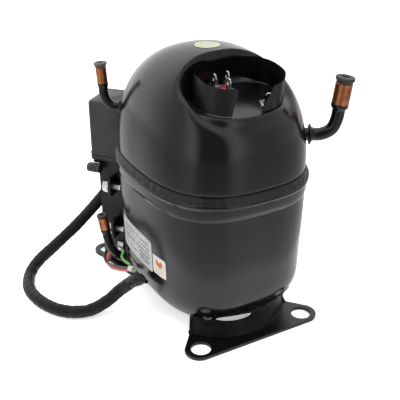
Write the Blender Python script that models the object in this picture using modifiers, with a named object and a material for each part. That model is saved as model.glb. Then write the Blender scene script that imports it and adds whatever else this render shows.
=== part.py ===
"""Hermetic reciprocating compressor: a welded oval shell on two stamped feet, with a sprung
motor and pump inside it. Every size below is in millimetres and becomes metres where a mesh is
made. X runs along the shell's long axis, Y along its short one, and Z is the crankshaft's axis."""

import math

import bmesh
import bpy
from mathutils import Matrix, Vector

MM = 0.001

# Where the shell's axis stands, measured from the middle of the whole object's box.
SHELL_X = 22.06
SHELL_Y = -4.49
GAP = 0.3

# Shell: half length, half width and squareness of its oval, and its heights.
RIM_A, RIM_B, RIM_N, RIM_Z = 86.9, 71.4, 2.68, 132.0
LOWER_A, LOWER_B, LOWER_N = 82.7, 68.3, 2.95
LOWER_TAPER = 0.00043
LOWER_CORNER_Z, LOWER_BOTTOM_Z, LOWER_ROUND = 50.0, 3.0, 2.5
UPPER_A, UPPER_B = 84.0, 68.5
DOME_Z, TOP_Z, DOME_ROUND = 143.5, 232.0, 2.467
SKIRT_Z = 124.5
WALL = 2.6
OVAL_POINTS = 32

# The pocket in the dome that holds the terminal fence: a tilted floor in an oval outline.
POCKET_TILT = math.radians(10.3)
POCKET_CENTRE = Vector((41.9, 0.0, 200.3))
POCKET_OUTLINE_X, POCKET_A, POCKET_B, POCKET_N = 44.0, 45.0, 52.0, 2.5
POCKET_FLAT = 0.84

FENCE_A, FENCE_B, FENCE_N, FENCE_HEIGHT, FENCE_FLARE = 26.3, 36.8, 2.48, 22.4, 0.967
FENCE_WALL = 1.0
FENCE_GAP_LOW, FENCE_GAP_HIGH = -19.3, 4.5

# Terminal: a steel cup with three pins in a glass seal.
TERMINAL_AT = (-9.0, -9.0)
TERMINAL_R = 13.0
PIN_CIRCLE = 7.0
PIN_R = 1.6

# Feet: hole spacing across, hole size and the distance of each hole row from the shell's axis.
HOLE_SPACING, HOLE_D = 101.6, 16.8
FRONT_HOLE_X, REAR_HOLE_X = 74.4, 114.6
FOOT_HALF, FOOT_T, FOOT_EDGE = 64.5, 3.0, 12.4
SADDLE_R, SADDLE_CENTRE_X, SADDLE_HALF, TAB_X = 57.0, 20.5, 51.0, 54.0
SADDLE_TOP, TAB_TOP = 22.0, 13.0

# Tubes leave the shell level, along this direction or against it, then turn up.
TUBE_DIR = Vector((0.4965, 0.868, 0.0)).normalized()

# Electrical bracket and box: near corner, outward direction and direction away along the box.
BOX_CORNER = Vector((-100.0, -61.0, 0.0))
OUT = Vector((-0.766, -0.643, 0.0)).normalized()
ALONG = Vector((-0.643, 0.766, 0.0)).normalized()
BRACKET_LOW, BRACKET_HIGH = 9.0, 107.4
BOX_LOW, BOX_HIGH, BOX_IN, BOX_OUT, BOX_LENGTH = 110.4, 166.0, -27.0, 8.0, 40.0

# Motor.
STATOR_HALF, STATOR_LOW, STATOR_HIGH, STATOR_BORE = 50.0, 44.0, 92.0, 30.4
ROTOR_R = 30.0
SHAFT_R = 8.7
SPRING_X, SPRING_Y, SPRING_R, SPRING_WIRE = 38.0, 35.0, 6.0, 0.9
SPRING_LOW, SPRING_HIGH, SPRING_TURNS = 19.3, 43.2, 4

# Pump: crank throw, connecting rod, bore and the height of the cylinder's axis.
THROW, ROD_LENGTH, BORE_R, PISTON_R = 6.0, 35.0, 17.1, 16.8
PUMP_Z = 146.0
PIN_JOURNAL_R = 7.0
CYLINDER_IN, CYLINDER_OUT, HEAD_HALF = 20.0, 61.9, 23.0
PISTON_IN, PISTON_LENGTH, CROWN = 21.5, 26.2, 1.7
HEAD_BOLT_OFFSET, HEAD_BOLT_R = 18.2, 2.0

# Sleeve: the soft harness tube's route from the gland under the box to its end on the shell.
SLEEVE_R = 5.8
SLEEVE_ROUTE = (
    (-110.8, -38.7, 94.0), (-110.8, -38.8, 86.0), (-111.1, -39.4, 78.0), (-113.8, -44.0, 71.5),
    (-117.5, -51.0, 63.0), (-119.6, -63.0, 50.0), (-117.0, -84.0, 35.0), (-113.0, -108.0, 22.0),
    (-108.5, -127.0, 12.5), (-96.1, -139.6, 7.2),
    (-74.0, -146.5, 6.2), (-48.0, -143.0, 6.2), (-27.0, -131.0, 6.2), (-16.5, -113.0, 7.0),
    (-15.5, -96.0, 11.0), (-12.5, -84.0, 20.5), (-4.5, -77.4, 30.5), (2.5, -75.4, 36.8),
    (9.5, -74.2, 41.2),
)
LEAD_R = 1.25
BLACK_ROUTE = (
    (-80.0, -62.6, 27.0), (-84.5, -65.0, 20.0), (-82.0, -68.5, 14.5), (-72.0, -71.0, 14.5),
    (-60.0, -71.8, 18.5), (-46.0, -71.6, 23.5), (-34.0, -70.6, 29.0), (-24.0, -69.2, 33.2),
)
RED_ROUTE = (
    (-76.0, -62.6, 24.0), (-79.0, -66.0, 16.0), (-74.0, -68.5, 11.0), (-62.0, -70.2, 13.6),
    (-48.0, -70.4, 19.2), (-35.0, -69.6, 25.0), (-23.0, -68.0, 31.2),
)
EARTH_ROUTE = (
    (-47.0, -63.4, 36.5), (-44.0, -66.5, 34.0), (-36.0, -67.6, 33.8), (-28.0, -67.4, 35.2),
    (-24.4, -67.2, 35.2),
)
CORD_STEP = 12.0

BLACK_PAINT = ("black_paint", (0.012, 0.012, 0.013), 0.22, 0.0)
BARE_STEEL = ("bare_steel", (0.45, 0.44, 0.43), 0.42, 1.0)
ZINC = ("zinc_plate", (0.62, 0.62, 0.60), 0.30, 1.0)
COPPER = ("copper", (0.72, 0.33, 0.20), 0.32, 1.0)
RUBBER = ("black_rubber", (0.020, 0.020, 0.021), 0.65, 0.0)
PLASTIC = ("black_plastic", (0.018, 0.018, 0.019), 0.45, 0.0)
GLASS = ("seal_glass", (0.42, 0.08, 0.05), 0.25, 0.0)
LABEL = ("label", (0.80, 0.81, 0.80), 0.50, 0.0)
PALE = ("pale_sticker", (0.80, 0.83, 0.66), 0.50, 0.0)
IRON = ("cast_iron", (0.20, 0.20, 0.20), 0.60, 1.0)
LAMINATION = ("lamination", (0.26, 0.27, 0.30), 0.50, 1.0)
WINDING = ("winding", (0.50, 0.20, 0.08), 0.40, 1.0)
WHITE = ("white_nylon", (0.80, 0.80, 0.78), 0.45, 0.0)
RED = ("red_insulation", (0.55, 0.04, 0.03), 0.45, 0.0)
GREEN = ("green_insulation", (0.25, 0.50, 0.08), 0.45, 0.0)

for old in list(bpy.data.objects):
    bpy.data.objects.remove(old)

parts = bpy.data.collections.new("hermetic_compressor")
cutters = bpy.data.collections.new("cutters")
for group in (parts, cutters):
    bpy.context.scene.collection.children.link(group)

assembly = bpy.data.objects.new("shell_axis", None)
assembly.location = (SHELL_X * MM, SHELL_Y * MM, 0.0)
parts.objects.link(assembly)

pivots = {}


def pivot(name, place):
    """An empty on a joint's axis, which the pieces of its body hang from."""
    empty = bpy.data.objects.new(name, None)
    empty.parent = assembly
    empty.location = Vector(place) * MM
    parts.objects.link(empty)
    pivots[name] = empty
    return name


def finish_of(look):
    name, colour, roughness, metallic = look
    material = bpy.data.materials.get(name)
    if material is None:
        material = bpy.data.materials.new(name)
        material.use_nodes = True
        shader = material.node_tree.nodes["Principled BSDF"]
        shader.inputs["Base Color"].default_value = (*colour, 1.0)
        shader.inputs["Roughness"].default_value = roughness
        shader.inputs["Metallic"].default_value = metallic
    return material


def add(name, bm, look=None, on=None):
    """Makes the mesh an object of the assembly, or a cutter where it has no look."""
    bmesh.ops.recalc_face_normals(bm, faces=bm.faces)
    parent = pivots[on] if on else assembly
    offset = parent.location if on else Vector((0.0, 0.0, 0.0))
    bmesh.ops.transform(bm, matrix=Matrix.Translation(-offset) @ Matrix.Scale(MM, 4), verts=bm.verts)
    mesh = bpy.data.meshes.new(name)
    bm.to_mesh(mesh)
    bm.free()
    mesh.shade_smooth()
    mesh.set_sharp_from_angle(angle=math.radians(35.0))
    obj = bpy.data.objects.new(name, mesh)
    obj.parent = parent
    if look:
        mesh.materials.append(finish_of(look))
        parts.objects.link(obj)
    else:
        obj.hide_render = True
        obj.display_type = "WIRE"
        cutters.objects.link(obj)
    return obj


def frame(origin, up, side=None):
    """A matrix whose Z axis is up and whose X axis is as near to side as it can be."""
    z_axis = Vector(up).normalized()
    hint = Vector(side) if side else (Vector((1, 0, 0)) if abs(z_axis.x) < 0.9 else Vector((0, 1, 0)))
    y_axis = z_axis.cross(hint).normalized()
    x_axis = y_axis.cross(z_axis)
    turn = Matrix((x_axis, y_axis, z_axis)).transposed().to_4x4()
    return Matrix.Translation(Vector(origin)) @ turn


def cone_mesh(start, end, low_r, high_r=None, segments=24):
    bm = bmesh.new()
    start, end = Vector(start), Vector(end)
    bmesh.ops.create_cone(
        bm, cap_ends=True, segments=segments, radius1=low_r,
        radius2=low_r if high_r is None else high_r, depth=(end - start).length,
        matrix=frame((start + end) / 2, end - start),
    )
    return bm


def box_mesh(low, high, matrix=None, bevel=0.0):
    bm = bmesh.new()
    low, high = Vector(low), Vector(high)
    bmesh.ops.create_cube(bm, size=1.0)
    size = Matrix.Diagonal((*(high - low), 1.0))
    bmesh.ops.transform(bm, matrix=Matrix.Translation((low + high) / 2) @ size, verts=bm.verts)
    if bevel:
        bmesh.ops.bevel(bm, geom=bm.edges[:], offset=bevel, segments=2, profile=0.5, affect="EDGES")
    if matrix:
        bmesh.ops.transform(bm, matrix=matrix, verts=bm.verts)
    return bm


def dome_mesh(rings):
    """A loft through rings with the same number of points, open at the first and closed at the last."""
    bm = bmesh.new()
    rows = [[bm.verts.new(point) for point in ring] for ring in rings]
    for row, after in zip(rows, rows[1:]):
        for i in range(len(row)):
            j = (i + 1) % len(row)
            bm.faces.new((row[i], row[j], after[j], after[i]))
    bm.faces.new(rows[-1])
    return bm


def turned_mesh(profile, matrix, steps=24):
    """A closed profile of (radius, height) points, turned round the matrix's Z axis."""
    bm = bmesh.new()
    outline = [bm.verts.new((radius, 0.0, height)) for radius, height in profile]
    edges = [bm.edges.new((outline[i], outline[(i + 1) % len(outline)])) for i in range(len(outline))]
    bmesh.ops.spin(
        bm, geom=outline + edges, axis=(0, 0, 1), cent=(0, 0, 0), steps=steps, angle=math.tau,
        use_merge=True, use_duplicate=False,
    )
    bmesh.ops.remove_doubles(bm, verts=bm.verts, dist=1e-4)
    bmesh.ops.transform(bm, matrix=matrix, verts=bm.verts)
    return bm


def cut(target, cutter, operation="DIFFERENCE"):
    modifier = target.modifiers.new(cutter.name, "BOOLEAN")
    modifier.operation = operation
    modifier.object = cutter


def thicken(target, thickness, offset=-1.0):
    solidify = target.modifiers.new("thickness", "SOLIDIFY")
    solidify.thickness = thickness * MM
    solidify.offset = offset
    solidify.use_even_offset = True


def smooth_route(route, step):
    """Points every step along a smooth curve through the route's own points."""
    points = [Vector(p) for p in route]
    padded = [2 * points[0] - points[1]] + points + [2 * points[-1] - points[-2]]
    dense = []
    for a, b, c, d in zip(padded, padded[1:], padded[2:], padded[3:]):
        for k in range(24):
            t = k / 24
            dense.append(0.5 * (2 * b + (c - a) * t + (2 * a - 5 * b + 4 * c - d) * t * t
                                + (3 * b - a - 3 * c + d) * t ** 3))
    dense.append(points[-1])
    length = sum((q - p).length for p, q in zip(dense, dense[1:]))
    count = max(2, round(length / step))
    picked, walked, wanted = [dense[0]], 0.0, 1
    for p, q in zip(dense, dense[1:]):
        piece = (q - p).length
        while wanted < count and walked + piece >= wanted * length / count:
            picked.append(p.lerp(q, (wanted * length / count - walked) / piece))
            wanted += 1
        walked += piece
    return picked + [dense[-1]]


def tube(name, points, radius, look=None, on=None, resolution=2):
    """A round bar along the points, as a mesh with welded caps."""
    curve = bpy.data.curves.new(name, "CURVE")
    curve.dimensions = "3D"
    curve.bevel_depth = radius
    curve.bevel_resolution = resolution
    curve.use_fill_caps = True
    spline = curve.splines.new("POLY")
    spline.points.add(len(points) - 1)
    for place, point in zip(spline.points, points):
        place.co = (*point, 1.0)
    drawn = bpy.data.objects.new(name + "_line", curve)
    bpy.context.scene.collection.objects.link(drawn)
    bpy.context.view_layer.update()
    mesh = bpy.data.meshes.new_from_object(drawn.evaluated_get(bpy.context.evaluated_depsgraph_get()))
    bm = bmesh.new()
    bm.from_mesh(mesh)
    bmesh.ops.remove_doubles(bm, verts=bm.verts, dist=1e-4)
    bpy.data.objects.remove(drawn)
    bpy.data.meshes.remove(mesh)
    return add(name, bm, look, on)


def oval(a, b, n, z, count=OVAL_POINTS):
    ring = []
    for i in range(count):
        angle = math.tau * i / count
        c, s = math.cos(angle), math.sin(angle)
        x = a * math.copysign(abs(c) ** (2 / n), c)
        y = b * math.copysign(abs(s) ** (2 / n), s)
        ring.append(Vector((x, y, z)))
    return ring


def lower_scale(z):
    """How much of the lower shell's full oval is left at this height."""
    straight = 1.0 - LOWER_TAPER * (128.0 - max(z, LOWER_CORNER_Z))
    if z >= LOWER_CORNER_Z:
        return straight
    depth = (LOWER_CORNER_Z - z) / (LOWER_CORNER_Z - LOWER_BOTTOM_Z)
    return straight * max(0.0, 1.0 - depth ** LOWER_ROUND) ** (1.0 / LOWER_ROUND)


def shell_x(y, z, clear):
    """The lower shell's half length at this height and width, with some clearance added."""
    scale = lower_scale(z)
    a, b = LOWER_A * scale + clear, LOWER_B * scale + clear
    return a * max(0.0, 1.0 - min(1.0, abs(y) / b) ** LOWER_N) ** (1.0 / LOWER_N)


def shell_y(x, z, clear):
    scale = lower_scale(z)
    a, b = LOWER_A * scale + clear, LOWER_B * scale + clear
    return b * max(0.0, 1.0 - min(1.0, abs(x) / a) ** LOWER_N) ** (1.0 / LOWER_N)


def smoothstep(t):
    t = min(1.0, max(0.0, t))
    return t * t * (3.0 - 2.0 * t)


def pocket_floor(x):
    return POCKET_CENTRE.z - math.tan(POCKET_TILT) * (x - POCKET_CENTRE.x)


def with_pocket(point):
    x, y, z = point
    across = (abs(x - POCKET_OUTLINE_X) / POCKET_A) ** POCKET_N + (abs(y) / POCKET_B) ** POCKET_N
    inside = smoothstep((1.0 - across ** (1.0 / POCKET_N)) / (1.0 - POCKET_FLAT))
    floor = min(z, pocket_floor(x))
    return Vector((x, y, z + (floor - z) * inside)) if z > DOME_Z else point


POCKET = frame(POCKET_CENTRE, (math.sin(POCKET_TILT), 0.0, math.cos(POCKET_TILT)), (1, 0, 0))


def lower_shell():
    rim = [
        (RIM_Z, 0.0), (RIM_Z - 1.5, 0.5), (RIM_Z - 8.0, 0.4), (RIM_Z - 12.5, -1.4), (RIM_Z - 18.0, -4.4),
    ]
    rings = [oval(RIM_A + grow, RIM_B + grow * 0.8, RIM_N, z) for z, grow in rim]
    for z in (106.0, LOWER_CORNER_Z):
        scale = lower_scale(z)
        rings.append(oval(LOWER_A * scale, LOWER_B * scale, LOWER_N, z))
    for step in range(1, 8):
        angle = math.radians(90.0 * step / 7.5)
        z = LOWER_CORNER_Z - (LOWER_CORNER_Z - LOWER_BOTTOM_Z) * math.sin(angle) ** (2 / LOWER_ROUND)
        scale = lower_scale(z)
        rings.append(oval(LOWER_A * scale, LOWER_B * scale, LOWER_N, z))
    shell = add("lower_shell", dome_mesh(rings), BLACK_PAINT)
    thicken(shell, WALL)
    low_tube = Vector((-54.0, -57.0, 25.0))
    hole = cone_mesh(low_tube - TUBE_DIR * 12, low_tube + TUBE_DIR * 20, 4.4)
    cut(shell, add("process_hole", hole))
    for k, (x, y) in enumerate(spring_places()):
        stub = turned_mesh([(4.0, 25.0), (0.0, 25.0), (0.0, 12.5), (6.2, 12.5), (6.2, 18.0), (4.0, 18.0)],
                           Matrix.Translation((x, y, 0.0)), 12)
        cut(shell, add(f"spring_stub_{k}", stub), "UNION")


def spring_places():
    return [(sx * SPRING_X, sy * SPRING_Y) for sx in (1, -1) for sy in (1, -1)]


def upper_shell():
    rings = [oval(UPPER_A, UPPER_B, RIM_N, z) for z in (SKIRT_Z, RIM_Z, DOME_Z)]
    for step in range(1, 14):
        angle = math.radians(90.0 * step / 13.5)
        z = DOME_Z + (TOP_Z - DOME_Z) * math.sin(angle) ** (2 / DOME_ROUND)
        scale = math.cos(angle) ** (2 / DOME_ROUND)
        n = RIM_N + (2.2 - RIM_N) * step / 13
        rings.append(oval(UPPER_A * scale, UPPER_B * scale, n, z))
    rings = [[with_pocket(point) for point in ring] for ring in rings]
    shell = add("upper_shell", dome_mesh(rings), BLACK_PAINT)
    thicken(shell, WALL)
    spot = POCKET @ Vector((*TERMINAL_AT, 0.0))
    normal = POCKET.to_3x3() @ Vector((0, 0, 1))
    cut(shell, add("terminal_hole", cone_mesh(spot - normal * 9, spot + normal * 9, TERMINAL_R + GAP)))
    for name, place, radius, way in (
        ("suction_hole", (58.7, 60.0, 165.0), 5.6, 1), ("discharge_hole", (-57.5, -58.8, 173.0), 4.2, -1),
    ):
        start = Vector(place) - TUBE_DIR * 16 * way
        cut(shell, add(name, cone_mesh(start, start + TUBE_DIR * 26 * way, radius)))


def girth_weld():
    """The weld bead in the corner between the two shells: a closed band round the oval."""
    section = ((0.35, 0.3), (2.2, 0.3), (2.5, 1.6), (1.7, 3.6), (0.35, 4.8))
    bm = bmesh.new()
    rows = []
    for out, up in section:
        ring = oval(UPPER_A + out, UPPER_B + out, RIM_N, RIM_Z + up)
        rows.append([bm.verts.new(point) for point in ring])
    for k, row in enumerate(rows):
        after = rows[(k + 1) % len(rows)]
        for i in range(len(row)):
            j = (i + 1) % len(row)
            bm.faces.new((row[i], row[j], after[j], after[i]))
    add("girth_weld", bm, BLACK_PAINT)


def plate_mesh(outline, low, high):
    """A flat plate: one outline, extruded."""
    bm = bmesh.new()
    face = bm.faces.new([bm.verts.new((x, y, low)) for x, y in outline])
    grown = bmesh.ops.extrude_face_region(bm, geom=[face])
    top = [item for item in grown["geom"] if isinstance(item, bmesh.types.BMVert)]
    bmesh.ops.translate(bm, verts=top, vec=(0.0, 0.0, high - low))
    return bm


def saddle_x(y):
    """Where the foot's plate turns up into its saddle."""
    arc = SADDLE_CENTRE_X + math.sqrt(SADDLE_R ** 2 - min(abs(y), 56.0) ** 2)
    return max(arc, TAB_X)


def foot(name, side, hole_x):
    """A stamped foot: a flat plate with two holes, turned up along its inner edge to hug the shell."""
    edge = hole_x + FOOT_EDGE
    widths = [SADDLE_HALF * k / 12 for k in range(-12, 13)]
    inner = [(saddle_x(y), y) for y in widths]
    outer = []
    for quarter, sign in ((range(-2, 7), 1), (range(6, -3, -1), -1)):
        for k in quarter:
            angle = math.radians(90.0 - 15.0 * k)
            x = edge - FOOT_EDGE + FOOT_EDGE * math.cos(angle)
            outer.append((x, sign * (FOOT_HALF - FOOT_EDGE + FOOT_EDGE * math.sin(angle))))
    outline = [(side * x, y) for x, y in inner + outer]
    plate = add(name, plate_mesh(outline, 0.0, FOOT_T), BLACK_PAINT)
    bm = bmesh.new()
    rows = []
    for y in widths:
        top = TAB_TOP + (SADDLE_TOP - TAB_TOP) * smoothstep((57.0 - abs(y)) / 12.0)
        bend_x = saddle_x(y) + 0.4
        rows.append([])
        for share in (0.0, 0.25, 0.6, 1.0):
            z = 0.8 + (top - 0.8) * share
            lean = min(bend_x, max(shell_x(y, z, GAP + 1.2), saddle_x(y) - 9.0 * share, TAB_X - 4.0))
            rows[-1].append(bm.verts.new((side * (bend_x + (lean - bend_x) * share ** 0.8), y, z)))
    for row, after in zip(rows, rows[1:]):
        for k in range(len(row) - 1):
            bm.faces.new((row[k], after[k], after[k + 1], row[k + 1]))
    for face in bm.faces:
        face.normal_update()
        if face.normal.x * side < 0:
            face.normal_flip()
    saddle = add_open(name + "_saddle", bm)
    thicken(saddle, 2.6, 1.0)
    cut(plate, saddle, "UNION")
    for sign in (1, -1):
        place = Vector((side * hole_x, sign * HOLE_SPACING / 2, 0.0))
        hole = cone_mesh(place - Vector((0, 0, 4)), place + Vector((0, 0, 8)), HOLE_D / 2, segments=32)
        cut(plate, add(f"{name}_hole_{sign}", hole))


def add_open(name, bm):
    """A cutter made of an open sheet, whose faces keep the side they were given."""
    bmesh.ops.transform(bm, matrix=Matrix.Scale(MM, 4), verts=bm.verts)
    mesh = bpy.data.meshes.new(name)
    bm.to_mesh(mesh)
    bm.free()
    obj = bpy.data.objects.new(name, mesh)
    obj.parent = assembly
    obj.hide_render = True
    obj.display_type = "WIRE"
    cutters.objects.link(obj)
    return obj


def terminal_fence():
    """A thin oval wall on the pocket's floor, open at the front where the leads come out."""
    count = 48
    start = math.asin((FENCE_GAP_HIGH / FENCE_B) ** (FENCE_N / 2))
    end = math.tau - math.asin((-FENCE_GAP_LOW / FENCE_B) ** (FENCE_N / 2))
    rows = []
    bm = bmesh.new()
    for height, flare in ((GAP + 0.2, 1.0), (FENCE_HEIGHT, FENCE_FLARE)):
        row = []
        for k in range(count + 1):
            angle = start + (end - start) * k / count
            c, s = math.cos(angle), math.sin(angle)
            x = FENCE_A * flare * math.copysign(abs(c) ** (2 / FENCE_N), c)
            y = FENCE_B * flare * math.copysign(abs(s) ** (2 / FENCE_N), s)
            row.append(bm.verts.new(POCKET @ Vector((x, y, height))))
        rows.append(row)
    for k in range(count):
        bm.faces.new((rows[0][k], rows[0][k + 1], rows[1][k + 1], rows[1][k]))
    fence = add("terminal_fence", bm, BLACK_PAINT)
    thicken(fence, FENCE_WALL, 0.0)


def terminal():
    """The feed-through: a welded steel cup, its glass seal and three pins with flat tabs."""
    spot = POCKET @ Matrix.Translation((*TERMINAL_AT, 0.0))
    cup = [
        (TERMINAL_R, 2.2), (TERMINAL_R - 1.2, 3.0), (10.6, 3.0), (10.3, 0.2), (10.3, -4.6), (11.4, -4.6),
        (TERMINAL_R, -2.6),
    ]
    add("terminal_cup", turned_mesh(cup, spot, 24), BARE_STEEL)
    seal = cone_mesh(spot @ Vector((0, 0, -3.4)), spot @ Vector((0, 0, 1.2)), 9.9)
    glass = add("terminal_glass", seal, GLASS)
    for k in range(3):
        angle = math.radians(125.0 + 120.0 * k)
        place = Vector((PIN_CIRCLE * math.cos(angle), PIN_CIRCLE * math.sin(angle), 0.0))
        low, high = spot @ (place + Vector((0, 0, -6))), spot @ (place + Vector((0, 0, 4)))
        hole = cone_mesh(low, high, PIN_R + GAP, segments=12)
        cut(glass, add(f"pin_hole_{k}", hole))
        low, high = spot @ (place + Vector((0, 0, -12))), spot @ (place + Vector((0, 0, 13)))
        pin = cone_mesh(low, high, PIN_R, segments=12)
        pin_object = add(f"terminal_pin_{k + 1}", pin, ZINC)
        tab = box_mesh((-3.1, -0.5, 3.0), (3.1, 0.5, 16.5), spot @ Matrix.Translation(place), 0.2)
        cut(pin_object, add(f"pin_tab_{k}", tab), "UNION")


def earth_tab():
    base = POCKET @ Matrix.Translation((16.5, 15.5, 0.0)) @ Matrix.Rotation(math.radians(-20.0), 4, "Z")
    lug = add("earth_tab", box_mesh((-5.5, -4.2, 0.5), (4.6, 4.2, 1.4), base, 0.2), ZINC)
    lean = base @ Matrix.Rotation(math.radians(8.0), 4, "Y")
    blade = box_mesh((3.6, -3.2, 0.6), (4.5, 3.2, 14.0), lean, 0.2)
    cut(lug, add("earth_blade", blade), "UNION")


def service_tube(name, route, radius, end_radius, end_length, bore, plug_radius, plug_height):
    """A tube that leaves the shell, turns up and is swaged wider at its open end, with a rubber plug."""
    pipe = tube(name, smooth_route(route, 5.0), radius, COPPER)
    end = Vector(route[-1])
    way = (end - Vector(route[-2])).normalized()
    seat = frame(end - way * 2.0, way)
    swage = [
        (end_radius, end_length), (bore, end_length), (bore, 4.5), (0.0, 4.5), (0.0, 0.0),
        (radius * 0.9, 0.0), (end_radius, 2.6),
    ]
    cut(pipe, add(name + "_swage", turned_mesh(swage, seat, 16)), "UNION")
    top = end_length + GAP
    plug = [
        (plug_radius, top + plug_height * 0.75), (plug_radius * 0.86, top + plug_height),
        (plug_radius * 0.3, top + plug_height), (plug_radius * 0.26, top + plug_height * 0.4),
        (0.0, top + plug_height * 0.4), (0.0, 8.0), (bore - 0.9, 8.0), (bore - GAP, 9.5), (bore - GAP, top),
        (plug_radius * 0.92, top), (plug_radius, top + plug_height * 0.2),
    ]
    stem = pivot(name.replace("_tube", "_plug_axis"), end)
    add(name.replace("_tube", "_plug"), turned_mesh(plug, seat, 16), RUBBER, stem)


def tubes():
    service_tube(
        "suction_tube",
        ((53.2, 50.4, 165.0), (58.7, 60.0, 165.0), (63.0, 67.6, 165.1), (67.0, 74.6, 169.5),
         (68.8, 77.8, 178.0), (69.4, 78.9, 188.0)),
        5.25, 7.05, 22.0, 6.2, 7.9, 4.8,
    )
    service_tube(
        "discharge_tube",
        ((-51.0, -47.5, 173.0), (-57.0, -58.0, 173.2), (-60.2, -63.6, 176.4), (-62.2, -67.0, 183.6),
         (-62.5, -67.5, 192.0)),
        3.9, 4.5, 18.5, 3.5, 5.6, 3.4,
    )
    service_tube(
        "process_tube",
        ((-48.5, -47.4, 25.0), (-54.0, -57.0, 25.0), (-58.2, -64.3, 28.0), (-61.2, -69.6, 36.0),
         (-62.6, -72.2, 47.0), (-63.1, -73.0, 53.0)),
        4.0, 4.7, 16.5, 3.7, 5.2, 2.8,
    )
    collar = [(8.2, 2.4), (7.0, 3.0), (5.6, 3.0), (5.6, 0.4), (8.2, 0.4)]
    place = Vector((58.7, 60.0, 165.0)) + TUBE_DIR * 0.9
    add("suction_collar", turned_mesh(collar, frame(place, TUBE_DIR), 24), BLACK_PAINT)


def label(name, x_low, x_high, z_low, z_high, look, columns=10, rows=5):
    """A thin label on the lower shell's side, bent to the shell."""
    bm = bmesh.new()
    grid = []
    for r in range(rows + 1):
        z = z_low + (z_high - z_low) * r / rows
        grid.append([])
        for c in range(columns + 1):
            x = x_low + (x_high - x_low) * c / columns
            grid[-1].append(bm.verts.new((x, -shell_y(x, z, 0.75), z)))
    for r in range(rows):
        for c in range(columns):
            bm.faces.new((grid[r][c], grid[r][c + 1], grid[r + 1][c + 1], grid[r + 1][c]))
    thicken(add(name, bm, look), 0.3, 0.0)


def electrical():
    """Bracket, box with its start parts, and the fittings that hold the leads."""
    corner = Matrix((OUT, ALONG, Vector((0, 0, 1)))).transposed().to_4x4()
    corner.translation = BOX_CORNER
    plate = box_mesh((-31.5, 0.0, BRACKET_LOW), (0.0, 2.5, BRACKET_HIGH), corner)
    bracket = add("box_bracket", plate, BLACK_PAINT)
    pieces = (
        ("ledge", (-27.0, -0.6, BRACKET_HIGH - 2.0), (BOX_OUT - 2.0, BOX_LENGTH, BRACKET_HIGH + 0.5)),
        ("stand", (-26.0, 0.3, FOOT_T + GAP), (-6.0, 2.1, BRACKET_LOW + 2.0)),
        ("toe", (-25.0, -0.4, FOOT_T + GAP - 0.1), (-7.0, 18.0, FOOT_T + GAP + 2.5)),
        ("ear_1", (-17.5, -14.0, 78.0), (-15.0, 1.0, 96.0)),
        ("ear_2", (-18.5, -14.0, 34.0), (-16.0, 1.0, 52.0)),
    )
    for name, low, high in pieces:
        cut(bracket, add("bracket_" + name, box_mesh(low, high, corner)), "UNION")
    for k, (out, z) in enumerate(((-16.25, 87.0), (-17.25, 43.0)), 1):
        start, end = corner @ Vector((out - 9.0, -7.5, z)), corner @ Vector((out + 6.0, -7.5, z))
        cut(bracket, add(f"bracket_hole_{k}", cone_mesh(start, end, 3.4, segments=12)))
        start, end = corner @ Vector((out - 10.0, -7.5, z)), corner @ Vector((out + 3.0, -7.5, z))
        shank = cone_mesh(start, end, 3.0, segments=12)
        bolt = add(f"bracket_bolt_{k}", shank, ZINC)
        head = [(5.7, 7.6), (0.0, 8.2), (0.0, 1.6), (5.7, 1.6)]
        hexagon = turned_mesh(head, frame(corner @ Vector((out, -7.5, z)), OUT), 6)
        cut(bolt, add(f"bolt_head_{k}", hexagon), "UNION")
    base = (BOX_IN, -1.5, BRACKET_HIGH + 0.8)
    add("box_base", box_mesh(base, (BOX_OUT, BOX_LENGTH, BOX_LOW + 2.5), corner, 0.8), PLASTIC)
    lid = box_mesh((BOX_IN, -1.5, BOX_LOW + 2.8), (BOX_OUT, BOX_LENGTH, BOX_HIGH), corner, 3.0)
    cover = add("box_cover", lid, PLASTIC)
    hollow = box_mesh((BOX_IN + 2, 0.5, BOX_LOW - 5), (BOX_OUT - 2, BOX_LENGTH - 2, BOX_HIGH - 2), corner)
    cut(cover, add("box_hollow", hollow))
    low = BOX_LOW + 3.1
    stand = Vector((-9.5, 15.5, low))
    capacitor = cone_mesh(corner @ stand, corner @ (stand + Vector((0.0, 0.0, 47.0))), 14.0)
    add("start_capacitor", capacitor, PLASTIC)
    relay = box_mesh((-22.0, 30.4, low), (4.0, 37.2, low + 30.0), corner, 0.8)
    add("start_relay", relay, WHITE)
    clamp = [(4.6, 12.0), (3.4, 13.2), (0.0, 13.2), (0.0, 0.0), (4.6, 0.0)]
    add("cable_clamp", turned_mesh(clamp, frame(corner @ Vector((-5.0, -6.4, 103.0)), OUT), 16), PLASTIC)
    gland = [(7.4, 0.0), (0.0, 0.0), (0.0, -8.6), (5.4, -8.6), (6.4, -3.0), (7.4, -2.6)]
    place = Matrix.Translation(corner @ Vector((-6.6, 24.0, BRACKET_HIGH - 2.0 - GAP)))
    add("sleeve_gland", turned_mesh(gland, place, 16), PLASTIC)


def leads():
    tube("harness_sleeve", smooth_route(SLEEVE_ROUTE, CORD_STEP), SLEEVE_R, RUBBER)
    tube("black_lead", smooth_route(BLACK_ROUTE, 5.0), LEAD_R, RUBBER)
    tube("red_lead", smooth_route(RED_ROUTE, 5.0), LEAD_R, RED)
    tube("earth_lead", smooth_route(EARTH_ROUTE, 4.0), LEAD_R, GREEN)
    splice = [(3.4, 12.0), (0.0, 12.0), (0.0, 0.0), (2.9, 0.0), (3.4, 1.0)]
    add("lead_splice", turned_mesh(splice, frame((-21.8, -68.6, 33.9), (1.0, -0.1, 0.42)), 12), WHITE)


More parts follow.
